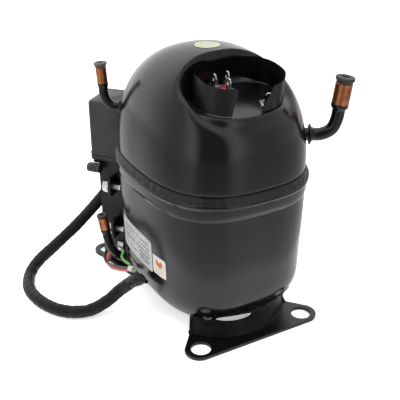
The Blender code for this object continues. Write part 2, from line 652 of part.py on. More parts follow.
def stator():
    points = []
    corner = 16.0
    for sx, sy, first in ((1, 1, 0), (-1, 1, 90), (-1, -1, 180), (1, -1, 270)):
        for k in range(4):
            angle = math.radians(first + 30 * k)
            x = sx * (STATOR_HALF - corner) + corner * math.cos(angle)
            points.append((x, sy * (STATOR_HALF - corner) + corner * math.sin(angle)))
    core = add("stator_core", plate_mesh(points, STATOR_LOW, STATOR_HIGH), LAMINATION, "pump_axis")
    bore = cone_mesh((0, 0, STATOR_LOW - 5), (0, 0, STATOR_HIGH + 5), STATOR_BORE, segments=24)
    cut(core, add("stator_bore", bore, on="pump_axis"))
    for name, low, high in (("lower_winding", STATOR_LOW - 17.0, STATOR_LOW - GAP),
                            ("upper_winding", STATOR_HIGH + GAP, STATOR_HIGH + 15.0)):
        ring = [(44.0, high - 3), (41.0, high), (35.0, high), (32.0, high - 3), (32.0, low + 3), (35.0, low),
                (41.0, low), (44.0, low + 3)]
        add(name, turned_mesh(ring, Matrix(), 20), WINDING, "pump_axis")


def springs():
    for k, (x, y) in enumerate(spring_places(), 1):
        points = []
        for i in range(SPRING_TURNS * 8 + 1):
            angle = math.tau * i / 8
            z = SPRING_LOW + (SPRING_HIGH - SPRING_LOW - 0.6) * i / (SPRING_TURNS * 8)
            points.append((x + SPRING_R * math.cos(angle), y + SPRING_R * math.sin(angle), z))
        tube(f"suspension_spring_{k}", points, SPRING_WIRE, BARE_STEEL, "pump_axis", 1)


def crank():
    """Crankshaft with its counterweight and throw, the rotor on it and the oil pick-up."""
    bar = cone_mesh((0, 0, 30.0), (0, 0, PUMP_Z - 17.0), SHAFT_R)
    shaft = add("crankshaft", bar, BARE_STEEL, "crank_axis")
    web = [(17.5, PUMP_Z - 8.5), (0.0, PUMP_Z - 8.5), (0.0, PUMP_Z - 17.5), (17.5, PUMP_Z - 17.5)]
    cut(shaft, add("counterweight", turned_mesh(web, Matrix(), 24), on="crank_axis"), "UNION")
    journal = cone_mesh((-THROW, 0, PUMP_Z - 9), (-THROW, 0, PUMP_Z + 8), PIN_JOURNAL_R)
    cut(shaft, add("throw", journal, on="crank_axis"), "UNION")
    cage = [(ROTOR_R, STATOR_HIGH), (27.0, STATOR_HIGH + 6), (20.0, STATOR_HIGH + 6),
            (SHAFT_R + GAP, STATOR_HIGH), (SHAFT_R + GAP, STATOR_LOW), (20.0, STATOR_LOW - 6),
            (27.0, STATOR_LOW - 6), (ROTOR_R, STATOR_LOW)]
    add("rotor", turned_mesh(cage, Matrix(), 24), LAMINATION, "crank_axis")
    pickup = [(5.0, 29.7), (0.0, 29.7), (0.0, 12.0), (1.6, 12.0), (3.0, 20.0)]
    add("oil_pickup", turned_mesh(pickup, Matrix(), 16), BARE_STEEL, "crank_axis")


def crankcase():
    """Bearing hub, table and cylinder in one casting."""
    plate_low = 116.0
    hub = [(40.0, 124.0), (SHAFT_R + GAP, 124.0), (SHAFT_R + GAP, 108.0), (17.0, 108.0), (18.0, plate_low),
           (40.0, plate_low)]
    casting = add("crankcase", turned_mesh(hub, Matrix(), 32), IRON, "pump_axis")
    pieces = (
        ("pedestal", box_mesh((26.0, -15.0, plate_low + 1.0), (58.0, 15.0, PUMP_Z - 8.0), None)),
        ("barrel", cone_mesh((CYLINDER_IN, 0, PUMP_Z), (CYLINDER_OUT - 4.0, 0, PUMP_Z), BORE_R + 3.6,
                             segments=32)),
        ("flange", box_mesh((CYLINDER_OUT - 6.0, -HEAD_HALF, PUMP_Z - HEAD_HALF),
                            (CYLINDER_OUT, HEAD_HALF, PUMP_Z + HEAD_HALF), None, 0.8)),
    )
    for name, bm in pieces:
        cut(casting, add("casting_" + name, bm, on="pump_axis"), "UNION")
    bore = cone_mesh((10.0, 0.0, PUMP_Z), (90.0, 0.0, PUMP_Z), BORE_R, segments=32)
    cut(casting, add("cylinder_bore", bore, on="pump_axis"))
    for k in range(2):
        for j in range(2):
            y, z = head_bolt_place(k, j)
            start, end = (CYLINDER_OUT - 20.0, y, z), (CYLINDER_OUT + 5.0, y, z)
            hole = cone_mesh(start, end, HEAD_BOLT_R + GAP, segments=10)
            cut(casting, add(f"flange_hole_{k}{j}", hole, on="pump_axis"))


def head_bolt_place(k, j):
    return (2 * k - 1) * HEAD_BOLT_OFFSET, PUMP_Z + (2 * j - 1) * HEAD_BOLT_OFFSET


def head():
    """Valve plate with its two ports and reeds, the head over it and four screws."""
    low = CYLINDER_OUT + GAP
    plate = add("valve_plate", box_mesh((low, -HEAD_HALF, PUMP_Z - HEAD_HALF),
                                        (low + 2.6, HEAD_HALF, PUMP_Z + HEAD_HALF)), BARE_STEEL, "pump_axis")
    head_low = low + 2.6 + GAP
    block = box_mesh((head_low, -HEAD_HALF, PUMP_Z - HEAD_HALF),
                     (head_low + 9.0, HEAD_HALF, PUMP_Z + HEAD_HALF), None, 1.0)
    cover = add("cylinder_head", block, IRON, "pump_axis")
    for name, y, z in (("suction_port", -8.0, PUMP_Z), ("discharge_port", 8.0, PUMP_Z)):
        cut(plate, add(name, cone_mesh((low - 3, y, z), (low + 6, y, z), 3.2, segments=16), on="pump_axis"))
    for name, y_low, y_high in (("suction_room", -14.5, -2.0), ("discharge_room", 0.5, 14.5)):
        room = box_mesh((head_low - 3.0, y_low, PUMP_Z - 14.5), (head_low + 6.5, y_high, PUMP_Z + 14.5))
        cut(cover, add(name, room, on="pump_axis"))
    for k in range(2):
        for j in range(2):
            y, z = head_bolt_place(k, j)
            for target in (plate, cover):
                hole = cone_mesh((low - 5, y, z), (low + 20, y, z), HEAD_BOLT_R + GAP, segments=10)
                cut(target, add(f"{target.name}_hole_{k}{j}", hole, on="pump_axis"))
            profile = [(3.6, 2.6), (0.0, 2.6), (0.0, -16.0), (HEAD_BOLT_R, -16.0), (HEAD_BOLT_R, GAP),
                       (3.6, GAP)]
            screw = turned_mesh(profile, frame((head_low + 9.0, y, z), (1, 0, 0)), 10)
            add(f"head_screw_{2 * k + j + 1}", screw, BARE_STEEL, "pump_axis")
    reed = box_mesh((low - 0.8, -12.5, PUMP_Z - 4.0), (low - 0.5, -4.0, PUMP_Z + 4.0), None)
    pivot("suction_reed_axis", (low - 0.65, -12.5, PUMP_Z))
    add("suction_reed", reed, BARE_STEEL, "suction_reed_axis")
    reed = box_mesh((head_low + 0.2, 3.5, PUMP_Z - 4.0), (head_low + 0.5, 13.5, PUMP_Z + 4.0), None)
    pivot("discharge_reed_axis", (head_low + 0.35, 13.5, PUMP_Z))
    add("discharge_reed", reed, BARE_STEEL, "discharge_reed_axis")


def rod_and_piston():
    big = [(10.5, PUMP_Z + 5.0), (PIN_JOURNAL_R + GAP, PUMP_Z + 5.0), (PIN_JOURNAL_R + GAP, PUMP_Z - 5.0),
           (10.5, PUMP_Z - 5.0)]
    eye = Matrix.Translation((-THROW, 0, 0))
    rod = add("connecting_rod", turned_mesh(big, eye, 24), IRON, "rod_axis")
    end_x = ROD_LENGTH - THROW
    small = [(4.4, PUMP_Z + 4.0), (2.5 + GAP, PUMP_Z + 4.0), (2.5 + GAP, PUMP_Z - 4.0), (4.4, PUMP_Z - 4.0)]
    for name, bm in (
        ("rod_shank", box_mesh((9.0 - THROW, -2.6, PUMP_Z - 3.2), (end_x - 3.6, 2.6, PUMP_Z + 3.2), None)),
        ("rod_eye", turned_mesh(small, Matrix.Translation((end_x, 0, 0)), 16)),
    ):
        cut(rod, add(name, bm, on="rod_axis"), "UNION")
    pin = cone_mesh((end_x, 0, PUMP_Z - 6.0), (end_x, 0, PUMP_Z + 6.0), 2.5, segments=16)
    add("wrist_pin", pin, BARE_STEEL, "rod_axis")
    inside = PISTON_LENGTH - CROWN
    cup = [(PISTON_R, PISTON_LENGTH), (0.0, PISTON_LENGTH), (0.0, inside), (PISTON_R - 2.4, inside),
           (PISTON_R - 2.4, 0.0), (PISTON_R, 0.0)]
    add("piston", turned_mesh(cup, frame((PISTON_IN, 0, PUMP_Z), (1, 0, 0)), 32), BARE_STEEL, "piston_axis")


def gas_path():
    muffler = box_mesh((14.0, -52.0, 129.0), (48.0, -24.5, 172.0), None, 3.0)
    add("suction_muffler", muffler, WHITE, "pump_axis")
    line = ((70.0, 8.0, 171.5), (70.0, 10.0, 178.0), (64.0, 22.0, 182.0), (46.0, 42.0, 182.0),
            (14.0, 52.0, 180.0), (-24.0, 50.0, 178.0), (-54.0, 30.0, 176.0), (-66.0, 2.0, 174.0),
            (-62.0, -22.0, 173.0), (-52.0, -38.0, 173.0))
    tube("discharge_line", smooth_route(line, 12.0), 2.6, COPPER, "pump_axis")


pivot("pump_axis", (0.0, 0.0, STATOR_LOW))
pivot("crank_axis", (0.0, 0.0, PUMP_Z))
pivot("rod_axis", (-THROW, 0.0, PUMP_Z))
pivot("piston_axis", (PISTON_IN, 0.0, PUMP_Z))
lower_shell()
upper_shell()
girth_weld()
foot("front_foot", 1, FRONT_HOLE_X)
foot("rear_foot", -1, REAR_HOLE_X)
terminal_fence()
terminal()
earth_tab()
tubes()
label("rating_label", -41.0, 19.5, 51.0, 80.5, LABEL)
label("small_label", 21.0, 39.5, 53.2, 71.2, WHITE, 4, 3)
add("top_sticker", cone_mesh((-1.0, -2.0, TOP_Z + 0.35), (-1.0, -2.0, TOP_Z + 0.65), 10.5), PALE)
electrical()
leads()
stator()
springs()
crank()
crankcase()
head()
rod_and_piston()
gas_path()
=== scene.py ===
"""Looks of a hermetic reciprocating compressor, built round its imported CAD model.

Sizes are in millimetres from the shell's own axis, as in the CAD, and become metres of the frame
where a mesh is made. Each visible piece has a function of its own, after the shared mesh tools."""

import math

import bmesh
import bpy
from mathutils import Matrix, Vector, noise


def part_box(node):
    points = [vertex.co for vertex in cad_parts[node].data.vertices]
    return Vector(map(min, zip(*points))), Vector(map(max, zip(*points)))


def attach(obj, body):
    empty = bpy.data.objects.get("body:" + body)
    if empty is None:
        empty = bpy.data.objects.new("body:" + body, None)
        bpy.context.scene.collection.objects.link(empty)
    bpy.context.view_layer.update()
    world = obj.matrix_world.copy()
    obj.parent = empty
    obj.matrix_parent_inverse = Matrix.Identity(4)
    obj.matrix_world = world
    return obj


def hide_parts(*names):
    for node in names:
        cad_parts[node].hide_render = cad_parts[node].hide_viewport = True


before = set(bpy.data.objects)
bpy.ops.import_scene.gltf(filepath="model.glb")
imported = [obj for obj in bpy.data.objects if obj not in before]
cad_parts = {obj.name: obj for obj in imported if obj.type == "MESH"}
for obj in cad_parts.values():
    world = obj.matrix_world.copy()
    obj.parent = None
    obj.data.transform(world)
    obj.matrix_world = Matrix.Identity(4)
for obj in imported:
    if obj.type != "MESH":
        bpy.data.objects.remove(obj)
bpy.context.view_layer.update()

MM = 0.001
shell_low, shell_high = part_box("lower_shell")
AXIS = Vector(((shell_low.x + shell_high.x) / 2, (shell_low.y + shell_high.y) / 2, 0.0))

# Shell: half length, half width and squareness of its ovals, and its heights.
ROUND = 192
LIP_A, LIP_B, LIP_N = 86.9, 71.4, 2.68
LIP_ROLL_A, LIP_ROLL_R, LIP_Z = 85.65, 1.3, 131.6
LOWER_A, LOWER_B, LOWER_N = 82.7, 68.3, 2.95
LOWER_TAPER, TAPER_FROM = 0.00043, 128.0
STRAIGHT_Z, CORNER_Z, BOTTOM_Z, CORNER_POWER = 106.0, 50.0, 3.0, 2.5
UPPER_A, UPPER_B, SKIRT_Z = 84.0, 68.5, 124.6
DOME_Z, TOP_Z, DOME_POWER, DOME_N = 143.5, 232.0, 2.467, 2.2
WALL = 2.6

POCKET_TILT = math.radians(10.3)
POCKET_CENTRE = Vector((41.9, 0.0, 200.3))
POCKET_X, POCKET_FRONT, POCKET_BACK, POCKET_B, POCKET_N = 44.0, 45.0, 30.5, 53.0, 2.5
POCKET_FLAT, POCKET_SIDE_EASE, POCKET_CREASE = 0.84, 0.19, 1.6
SHOULDER_DROP, SHOULDER_CREASE, SHOULDER_FROM = 6.0, 6.0, 42.0

FENCE_A, FENCE_B, FENCE_N, FENCE_HEIGHT, FENCE_FLARE = 26.3, 36.8, 2.48, 22.4, 0.967
TERMINAL_AT = Vector((-9.0, -9.0, 0.0))
TUBE_DIR = Vector((0.4965, 0.868, 0.0)).normalized()

HOLE_HALF, HOLE_R, FOOT_HALF, FOOT_T, FOOT_EDGE = 50.8, 8.4, 64.5, 3.0, 12.4
SADDLE_HALF, EAR_Y, EAR_Z, EAR_R = 50.0, 38.0, 22.5, 7.4
FRONT_HOLE_X, REAR_HOLE_X = 74.4, 114.6
SADDLE_R, SADDLE_CENTRE_X, SADDLE_LEAN, TAB_X = 57.0, 20.5, 6.5, 54.0
SLOT_HALF, SLOT_HIGH, SLOT_Y, SLOT_Z = 16.0, 2.1, -14.0, 17.0

BOX_CORNER = Vector((-100.0, -61.0, 0.0))
OUT = Vector((-0.766, -0.643, 0.0)).normalized()
ALONG = Vector((-0.643, 0.766, 0.0)).normalized()

# Routes of the free leads, as the CAD has them. The sleeve's last two points are for its pinched end.
SLEEVE_R, SLEEVE_STEP, LEAD_R = 5.8, 1.3, 1.25
SLEEVE_ROUTE = (
    (-110.8, -38.7, 94.0), (-110.8, -38.8, 86.0), (-111.1, -39.4, 78.0), (-113.8, -44.0, 71.5),
    (-117.5, -51.0, 63.0), (-119.6, -63.0, 50.0), (-117.0, -84.0, 35.0), (-113.0, -108.0, 22.0),
    (-108.5, -127.0, 12.5), (-96.1, -139.6, 7.2), (-74.0, -146.5, 6.2), (-48.0, -143.0, 6.2),
    (-27.0, -131.0, 6.2), (-16.5, -113.0, 7.0), (-15.5, -96.0, 11.0), (-12.5, -84.0, 20.5),
    (-4.5, -77.4, 30.5), (2.5, -75.4, 36.8), (9.5, -74.2, 41.2), (15.5, -73.5, 43.6), (21.0, -72.9, 44.8),
)
BLACK_ROUTE = (
    (-80.0, -62.6, 27.0), (-84.5, -65.0, 20.0), (-82.0, -68.5, 14.5), (-72.0, -71.0, 14.5),
    (-60.0, -71.8, 18.5), (-46.0, -71.6, 23.5), (-34.0, -70.6, 29.0), (-24.0, -69.2, 33.2),
)
RED_ROUTE = (
    (-76.0, -62.6, 24.0), (-79.0, -66.0, 16.0), (-74.0, -68.5, 11.0), (-62.0, -70.2, 13.6),
    (-48.0, -70.4, 19.2), (-35.0, -69.6, 25.0), (-23.0, -68.0, 31.2),
)
EARTH_ROUTE = (
    (-47.0, -63.4, 36.5), (-44.0, -66.5, 34.0), (-36.0, -67.6, 33.8), (-28.0, -67.4, 35.2),
    (-24.4, -67.2, 35.2),
)


# Shared shapes -------------------------------------------------------------------------------


def turned_to(origin, up, side=None):
    """A matrix whose Z axis is up and whose X axis is as near to side as it can be."""
    z_axis = Vector(up).normalized()
    hint = Vector(side) if side else (Vector((1, 0, 0)) if abs(z_axis.x) < 0.9 else Vector((0, 1, 0)))
    y_axis = z_axis.cross(hint).normalized()
    x_axis = y_axis.cross(z_axis)
    turn = Matrix((x_axis, y_axis, z_axis)).transposed().to_4x4()
    return Matrix.Translation(Vector(origin)) @ turn


POCKET = turned_to(POCKET_CENTRE, (math.sin(POCKET_TILT), 0.0, math.cos(POCKET_TILT)), (1, 0, 0))
CORNER = Matrix((OUT, ALONG, Vector((0, 0, 1)))).transposed().to_4x4()
CORNER.translation = BOX_CORNER


def smoothstep(t):
    t = min(1.0, max(0.0, t))
    return t * t * (3.0 - 2.0 * t)


def smooth_route(route, step):
    """Points every step along a smooth curve through the route's own points."""
    points = [Vector(p) for p in route]
    padded = [2 * points[0] - points[1]] + points + [2 * points[-1] - points[-2]]
    dense = []
    for a, b, c, d in zip(padded, padded[1:], padded[2:], padded[3:]):
        for k in range(24):
            t = k / 24
            dense.append(0.5 * (2 * b + (c - a) * t + (2 * a - 5 * b + 4 * c - d) * t * t
                                + (3 * b - a - 3 * c + d) * t ** 3))
    dense.append(points[-1])
    length = sum((q - p).length for p, q in zip(dense, dense[1:]))
    count = max(2, round(length / step))
    picked, walked, wanted = [dense[0]], 0.0, 1
    for p, q in zip(dense, dense[1:]):
        piece_length = (q - p).length
        while wanted < count and walked + piece_length >= wanted * length / count:
            picked.append(p.lerp(q, (wanted * length / count - walked) / piece_length))
            wanted += 1
        walked += piece_length
    return picked + [dense[-1]]


def oval(a, b, n, z, count=ROUND):
    """An oval ring with its points spread evenly by angle."""
    ring = []
    for i in range(count):
        angle = math.tau * i / count
        c, s = math.cos(angle), math.sin(angle)
        reach = (abs(c / a) ** n + abs(s / b) ** n) ** (-1.0 / n)
        ring.append(Vector((reach * c, reach * s, z)))
    return ring


def loft(rings, caps=True, wrap=False):
    """Joins rings with the same number of points; wrap joins the last ring to the first."""
    bm = bmesh.new()
    rows = [[bm.verts.new(point) for point in ring] for ring in rings]
    pairs = list(zip(rows, rows[1:])) + ([(rows[-1], rows[0])] if wrap else [])
    for row, after in pairs:
        for i in range(len(row)):
            j = (i + 1) % len(row)
            bm.faces.new((row[i], row[j], after[j], after[i]))
    if caps and not wrap:
        bm.faces.new(rows[0])
        bm.faces.new(rows[-1])
    return bm


def turned(profile, matrix=None, steps=48):
    """A closed profile of (radius, height) points, turned round the matrix's Z axis."""
    rings = []
    for radius, height in profile:
        rings.append([Vector((radius * math.cos(math.tau * k / steps),
                              radius * math.sin(math.tau * k / steps), height)) for k in range(steps)])
    bm = loft(rings, wrap=True)
    bmesh.ops.remove_doubles(bm, verts=bm.verts, dist=1e-4)
    if matrix:
        bmesh.ops.transform(bm, matrix=matrix, verts=bm.verts)
    return bm


def stations(points):
    """Each point of a route, with its tangent and two sides that turn no more than the route does."""
    last = len(points) - 1
    tangents = [(points[min(last, i + 1)] - points[max(0, i - 1)]).normalized() for i in range(last + 1)]
    side = turned_to(points[0], tangents[0]).to_3x3().col[0]
    for point, tangent in zip(points, tangents):
        side = (side - tangent * side.dot(tangent)).normalized()
        yield point, tangent, side, tangent.cross(side)


def sweep(points, radius, sides):
    """A round bar along the points."""
    turns = [math.tau * k / sides for k in range(sides)]
    return loft([[point + (side * math.cos(t) + other * math.sin(t)) * radius for t in turns]
                 for point, _, side, other in stations(points)])


def prism(outline, low, high, matrix=None):
    """A flat plate: an outline of (x, y) points, as thick as from low to high."""
    bm = loft([[Vector((x, y, z)) for x, y in outline] for z in (low, high)])
    if matrix:
        bmesh.ops.transform(bm, matrix=matrix, verts=bm.verts)
    return bm


def round_corners(corners, radius, steps=5):
    """The outline of a convex polygon with each corner rounded."""
    outline = []
    for i, corner in enumerate(corners):
        corner = Vector(corner)
        before = (Vector(corners[i - 1]) - corner).normalized()
        after = (Vector(corners[(i + 1) % len(corners)]) - corner).normalized()
        half = before.angle(after) / 2
        centre = corner + (before + after).normalized() * radius / math.sin(half)
        start = corner + before * radius / math.tan(half) - centre
        end = corner + after * radius / math.tan(half) - centre
        for k in range(steps + 1):
            blend = start.lerp(end, k / steps).normalized() * radius
            outline.append(tuple(centre + blend))
    return outline


def block(low, high, matrix=None):
    corners = [(low[0], low[1]), (high[0], low[1]), (high[0], high[1]), (low[0], high[1])]
    return prism(corners, low[2], high[2], matrix)


def placed(name, data):
    """A new object in the scene."""
    obj = bpy.data.objects.new(name, data)
    bpy.context.scene.collection.objects.link(obj)
    return obj


def boolean(bm, others, operation):
    """The mesh cut by, or united with, others."""
    made = []
    for shape in [bm] + list(others):
        mesh = bpy.data.meshes.new("tool")
        bmesh.ops.recalc_face_normals(shape, faces=shape.faces)
        shape.to_mesh(mesh)
        shape.free()
        made.append(placed("tool", mesh))
    for tool in made[1:]:
        modifier = made[0].modifiers.new("cut", "BOOLEAN")
        modifier.operation = operation
        modifier.object = tool
        modifier.solver = "EXACT"
    bpy.context.view_layer.update()
    mesh = bpy.data.meshes.new_from_object(made[0].evaluated_get(bpy.context.evaluated_depsgraph_get()))
    result = bmesh.new()
    result.from_mesh(mesh)
    bpy.data.meshes.remove(mesh)
    for obj in made:
        data = obj.data
        bpy.data.objects.remove(obj)
        bpy.data.meshes.remove(data)
    return result


def piece(name, bm, look, stands_for=(), body="shell", bevel=0.0, sharp=40.0, thick=0.0):
    """Makes the mesh a piece that rides on a body, with a look, and stands for CAD nodes."""
    bmesh.ops.recalc_face_normals(bm, faces=bm.faces)
    bmesh.ops.transform(bm, matrix=Matrix.Translation(AXIS) @ Matrix.Scale(MM, 4), verts=bm.verts)
    mesh = bpy.data.meshes.new(name)
    bm.to_mesh(mesh)
    bm.free()
    mesh.shade_smooth()
    if not bevel:
        mesh.set_sharp_from_angle(angle=math.radians(sharp))
    mesh.materials.append(look)
    obj = placed(name, mesh)
    if thick:
        solidify = obj.modifiers.new("thickness", "SOLIDIFY")
        solidify.thickness = thick * MM
        solidify.offset = -1.0
    if bevel:
        rounding = obj.modifiers.new("rounding", "BEVEL")
        rounding.width = bevel * MM
        rounding.segments = 3
        rounding.limit_method = "ANGLE"
        rounding.angle_limit = math.radians(sharp)
        rounding.harden_normals = True
    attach(obj, body)
    if stands_for:
        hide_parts(*stands_for)
    return obj


# Materials -----------------------------------------------------------------------------------


def new_look(name):
    """A material and the things that its shader is made with."""
    material = bpy.data.materials.new(name)
    material.use_nodes = True
    tree = material.node_tree
    shader = tree.nodes["Principled BSDF"]
    return material, tree, shader


def node(tree, kind, inputs=None, **settings):
    made = tree.nodes.new(kind)
    for key, value in settings.items():
        setattr(made, key, value)
    for key, value in (inputs or {}).items():
        if isinstance(value, bpy.types.NodeSocket):
            tree.links.new(value, made.inputs[key])
        else:
            made.inputs[key].default_value = value
    return made


def spots(tree, scale, detail=3.0, rough=0.55, stretch=None):
    """Noise in the object's own metres, stretched where asked."""
    place = node(tree, "ShaderNodeTexCoord").outputs["Object"]
    if stretch:
        place = node(tree, "ShaderNodeMapping", {"Vector": place, "Scale": stretch}).outputs["Vector"]
    made = node(tree, "ShaderNodeTexNoise", {"Vector": place, "Scale": scale, "Detail": detail,
                                             "Roughness": rough})
    return made.outputs["Fac"]


def ranged(tree, value, low, high, start=0.3, end=0.7):
    made = node(tree, "ShaderNodeMapRange", {"Value": value, "From Min": start, "From Max": end,
                                             "To Min": low, "To Max": high})
    return made.outputs["Result"]


def mixed(tree, share, first, second):
    made = node(tree, "ShaderNodeMix", data_type="RGBA")
    tree.links.new(share, made.inputs["Factor"])
    for slot_name, value in (("A", first), ("B", second)):
        socket = next(s for s in made.inputs if s.name == slot_name and s.type == "RGBA")
        if isinstance(value, bpy.types.NodeSocket):
            tree.links.new(value, socket)
        else:
            socket.default_value = (*value, 1.0)
    return next(s for s in made.outputs if s.type == "RGBA")


def math_node(tree, operation, a, b=0.0):
    made = node(tree, "ShaderNodeMath", operation=operation)
    for socket, value in zip(made.inputs, (a, b)):
        if isinstance(value, bpy.types.NodeSocket):
            tree.links.new(value, socket)
        else:
            socket.default_value = value
    return made.outputs["Value"]


def times(tree, a, b):
    return math_node(tree, "MULTIPLY", a, b)


def bumped(tree, shader, height, strength, distance):
    made = node(tree, "ShaderNodeBump", {"Height": height, "Strength": strength, "Distance": distance})
    tree.links.new(made.outputs["Normal"], shader.inputs["Normal"])


def simple_look(name, dark, light, roughness, metallic=0.0, scale=40.0, grain=900.0, bump=0.1,
                bump_depth=0.0001, stretch=None, specular=0.5, coat=0.0):
    """A finish that wanders between two colours and two roughnesses, with a grain on it."""
    material, tree, shader = new_look(name)
    wander = spots(tree, scale, stretch=stretch)
    colour = mixed(tree, ranged(tree, wander, 0.0, 1.0), dark, light)
    tree.links.new(colour, shader.inputs["Base Color"])
    fine = spots(tree, grain, 2.0, stretch=stretch)
    rough = ranged(tree, spots(tree, scale * 3.1, stretch=stretch), roughness - 0.06, roughness + 0.06)
    tree.links.new(rough, shader.inputs["Roughness"])
    shader.inputs["Metallic"].default_value = metallic
    shader.inputs["Specular IOR Level"].default_value = specular
    shader.inputs["Coat Weight"].default_value = coat
    bumped(tree, shader, fine, bump, bump_depth)
    return material


def paint_look(name, roughness, texture, depth, gloss=0.42):
    """Black enamel: glossy, with orange peel, faint waves and a little dust."""
    material, tree, shader = new_look(name)
    dust = ranged(tree, spots(tree, 55.0, 6.0, 0.65), 0.0, 1.0, 0.52, 0.8)
    tree.links.new(mixed(tree, dust, (0.0025, 0.0025, 0.0027), (0.006, 0.006, 0.0058)),
                   shader.inputs["Base Color"])
    rough = ranged(tree, spots(tree, 38.0, 4.0), roughness - 0.03, roughness + 0.05)
    tree.links.new(rough, shader.inputs["Roughness"])
    shader.inputs["Specular IOR Level"].default_value = gloss
    peel = times(tree, spots(tree, texture, 2.0), 0.35)
    waves = spots(tree, 28.0, 1.0)
    bumped(tree, shader, math_node(tree, "ADD", peel, waves), 0.35, depth)
    return material


def label_coordinates(tree):
    place = node(tree, "ShaderNodeUVMap", uv_map="print").outputs["UV"]
    parts = node(tree, "ShaderNodeSeparateXYZ", {"Vector": place})
    return parts.outputs["X"], parts.outputs["Y"]


def printed(material, colour, roughness, grain=500.0, bump=0.06):
    """Finishes a material whose colour has a print in it."""
    tree = material.node_tree
    shader = tree.nodes["Principled BSDF"]
    tree.links.new(colour, shader.inputs["Base Color"])
    shader.inputs["Roughness"].default_value = roughness
    bumped(tree, shader, spots(tree, grain), bump, 0.0001)
    return material


def between(tree, value, low, high):
    return times(tree, math_node(tree, "GREATER_THAN", value, low), math_node(tree, "LESS_THAN", value, high))


def print_look():
    """A white label with plain rows of dashes, a ruled line and a block of bars: no words."""
    material, tree, _ = new_look("label_print")
    u, v = label_coordinates(tree)
    rows = 7.0
    level = times(tree, v, rows)
    in_row = between(tree, math_node(tree, "FRACT", level), 0.28, 0.72)
    spread = node(tree, "ShaderNodeCombineXYZ", {"X": times(tree, u, 30.0),
                                                 "Y": times(tree, math_node(tree, "FLOOR", level), 7.3)})
    dashes = node(tree, "ShaderNodeTexNoise", {"Vector": spread.outputs["Vector"], "Scale": 1.0,
                                               "Detail": 2.0})
    words = times(tree, in_row, math_node(tree, "GREATER_THAN", dashes.outputs["Fac"], 0.47))
    words = times(tree, words, between(tree, u, 0.05, 0.93))
    words = times(tree, words, between(tree, v, 0.08, 0.92))
    bar = math_node(tree, "GREATER_THAN", math_node(tree, "FRACT", times(tree, u, 42.0)), 0.5)
    bars = times(tree, bar, between(tree, u, 0.62, 0.86))
    bars = times(tree, bars, between(tree, v, 0.1, 0.36))
    rule = times(tree, between(tree, v, 0.43, 0.445), between(tree, u, 0.05, 0.95))
    ink = math_node(tree, "MAXIMUM", math_node(tree, "MAXIMUM", words, bars), rule)
    ink = times(tree, ink, 0.95)
    soil = ranged(tree, spots(tree, 70.0, 4.0), 0.0, 1.0)
    paper = mixed(tree, soil, (0.60, 0.61, 0.60), (0.70, 0.71, 0.70))
    return printed(material, mixed(tree, ink, paper, (0.16, 0.16, 0.17)), 0.42)


def blob_look():
    """A cream sticker with a plain orange shape over two faint rows."""
    material, tree, _ = new_look("sticker_print")
    u, v = label_coordinates(tree)
    dx = math_node(tree, "ABSOLUTE", math_node(tree, "SUBTRACT", u, 0.5))
    dy = math_node(tree, "SUBTRACT", v, 0.66)
    far = math_node(tree, "SQRT", math_node(tree, "ADD", math_node(tree, "POWER", dx, 2.0),
                                            times(tree, math_node(tree, "POWER", dy, 2.0), 1.3)))
    disc = ranged(tree, far, 1.0, 0.0, 0.24, 0.28)
    notch = math_node(tree, "GREATER_THAN", math_node(tree, "SUBTRACT", dy, dx), 0.02)
    shape = times(tree, disc, math_node(tree, "SUBTRACT", 1.0, notch))
    row = between(tree, math_node(tree, "FRACT", times(tree, v, 9.0)), 0.3, 0.65)
    rows = times(tree, row, times(tree, between(tree, v, 0.1, 0.32), between(tree, u, 0.2, 0.8)))
    ink = math_node(tree, "MAXIMUM", shape, times(tree, rows, 0.3))
    paper = mixed(tree, spots(tree, 120.0), (0.74, 0.71, 0.66), (0.84, 0.82, 0.78))
    return printed(material, mixed(tree, ink, paper, (0.72, 0.20, 0.06)), 0.4)


def copper_look():
    """Drawn copper, streaked along the tube and dulled in patches."""
    material, tree, shader = new_look("copper_tube")
    streaks = spots(tree, 260.0, 4.0, stretch=(1.0, 1.0, 0.05))
    patches = ranged(tree, spots(tree, 95.0, 5.0), 0.0, 1.0, 0.42, 0.68)
    bright = mixed(tree, ranged(tree, streaks, 0.0, 1.0), (0.42, 0.15, 0.06), (0.66, 0.27, 0.12))
    tree.links.new(mixed(tree, patches, bright, (0.26, 0.09, 0.045)), shader.inputs["Base Color"])
    tree.links.new(ranged(tree, streaks, 0.24, 0.42), shader.inputs["Roughness"])
    shader.inputs["Metallic"].default_value = 1.0
    bumped(tree, shader, streaks, 0.12, 0.0002)
    return material


def earth_look():
    """Green insulation with a yellow stripe along it."""
    material, tree, _ = new_look("earth_insulation")
    u, v = label_coordinates(tree)
    stripe = between(tree, v, 0.2, 0.55)
    colour = mixed(tree, stripe, (0.10, 0.34, 0.06), (0.72, 0.66, 0.08))
    soil = ranged(tree, spots(tree, 200.0), 0.0, 0.35)
    return printed(material, mixed(tree, soil, colour, (0.05, 0.06, 0.03)), 0.4, 900.0, 0.08)


def ring_look():
    """A pale yellow-green inspection sticker with one plain printed ring."""
    material, tree, _ = new_look("round_sticker")
    u, v = label_coordinates(tree)
    ring = times(tree, between(tree, u, 0.74, 0.82), 0.25)
    paper = mixed(tree, spots(tree, 110.0), (0.66, 0.70, 0.50), (0.74, 0.77, 0.58))
    return printed(material, mixed(tree, ring, paper, (0.35, 0.42, 0.22)), 0.45)


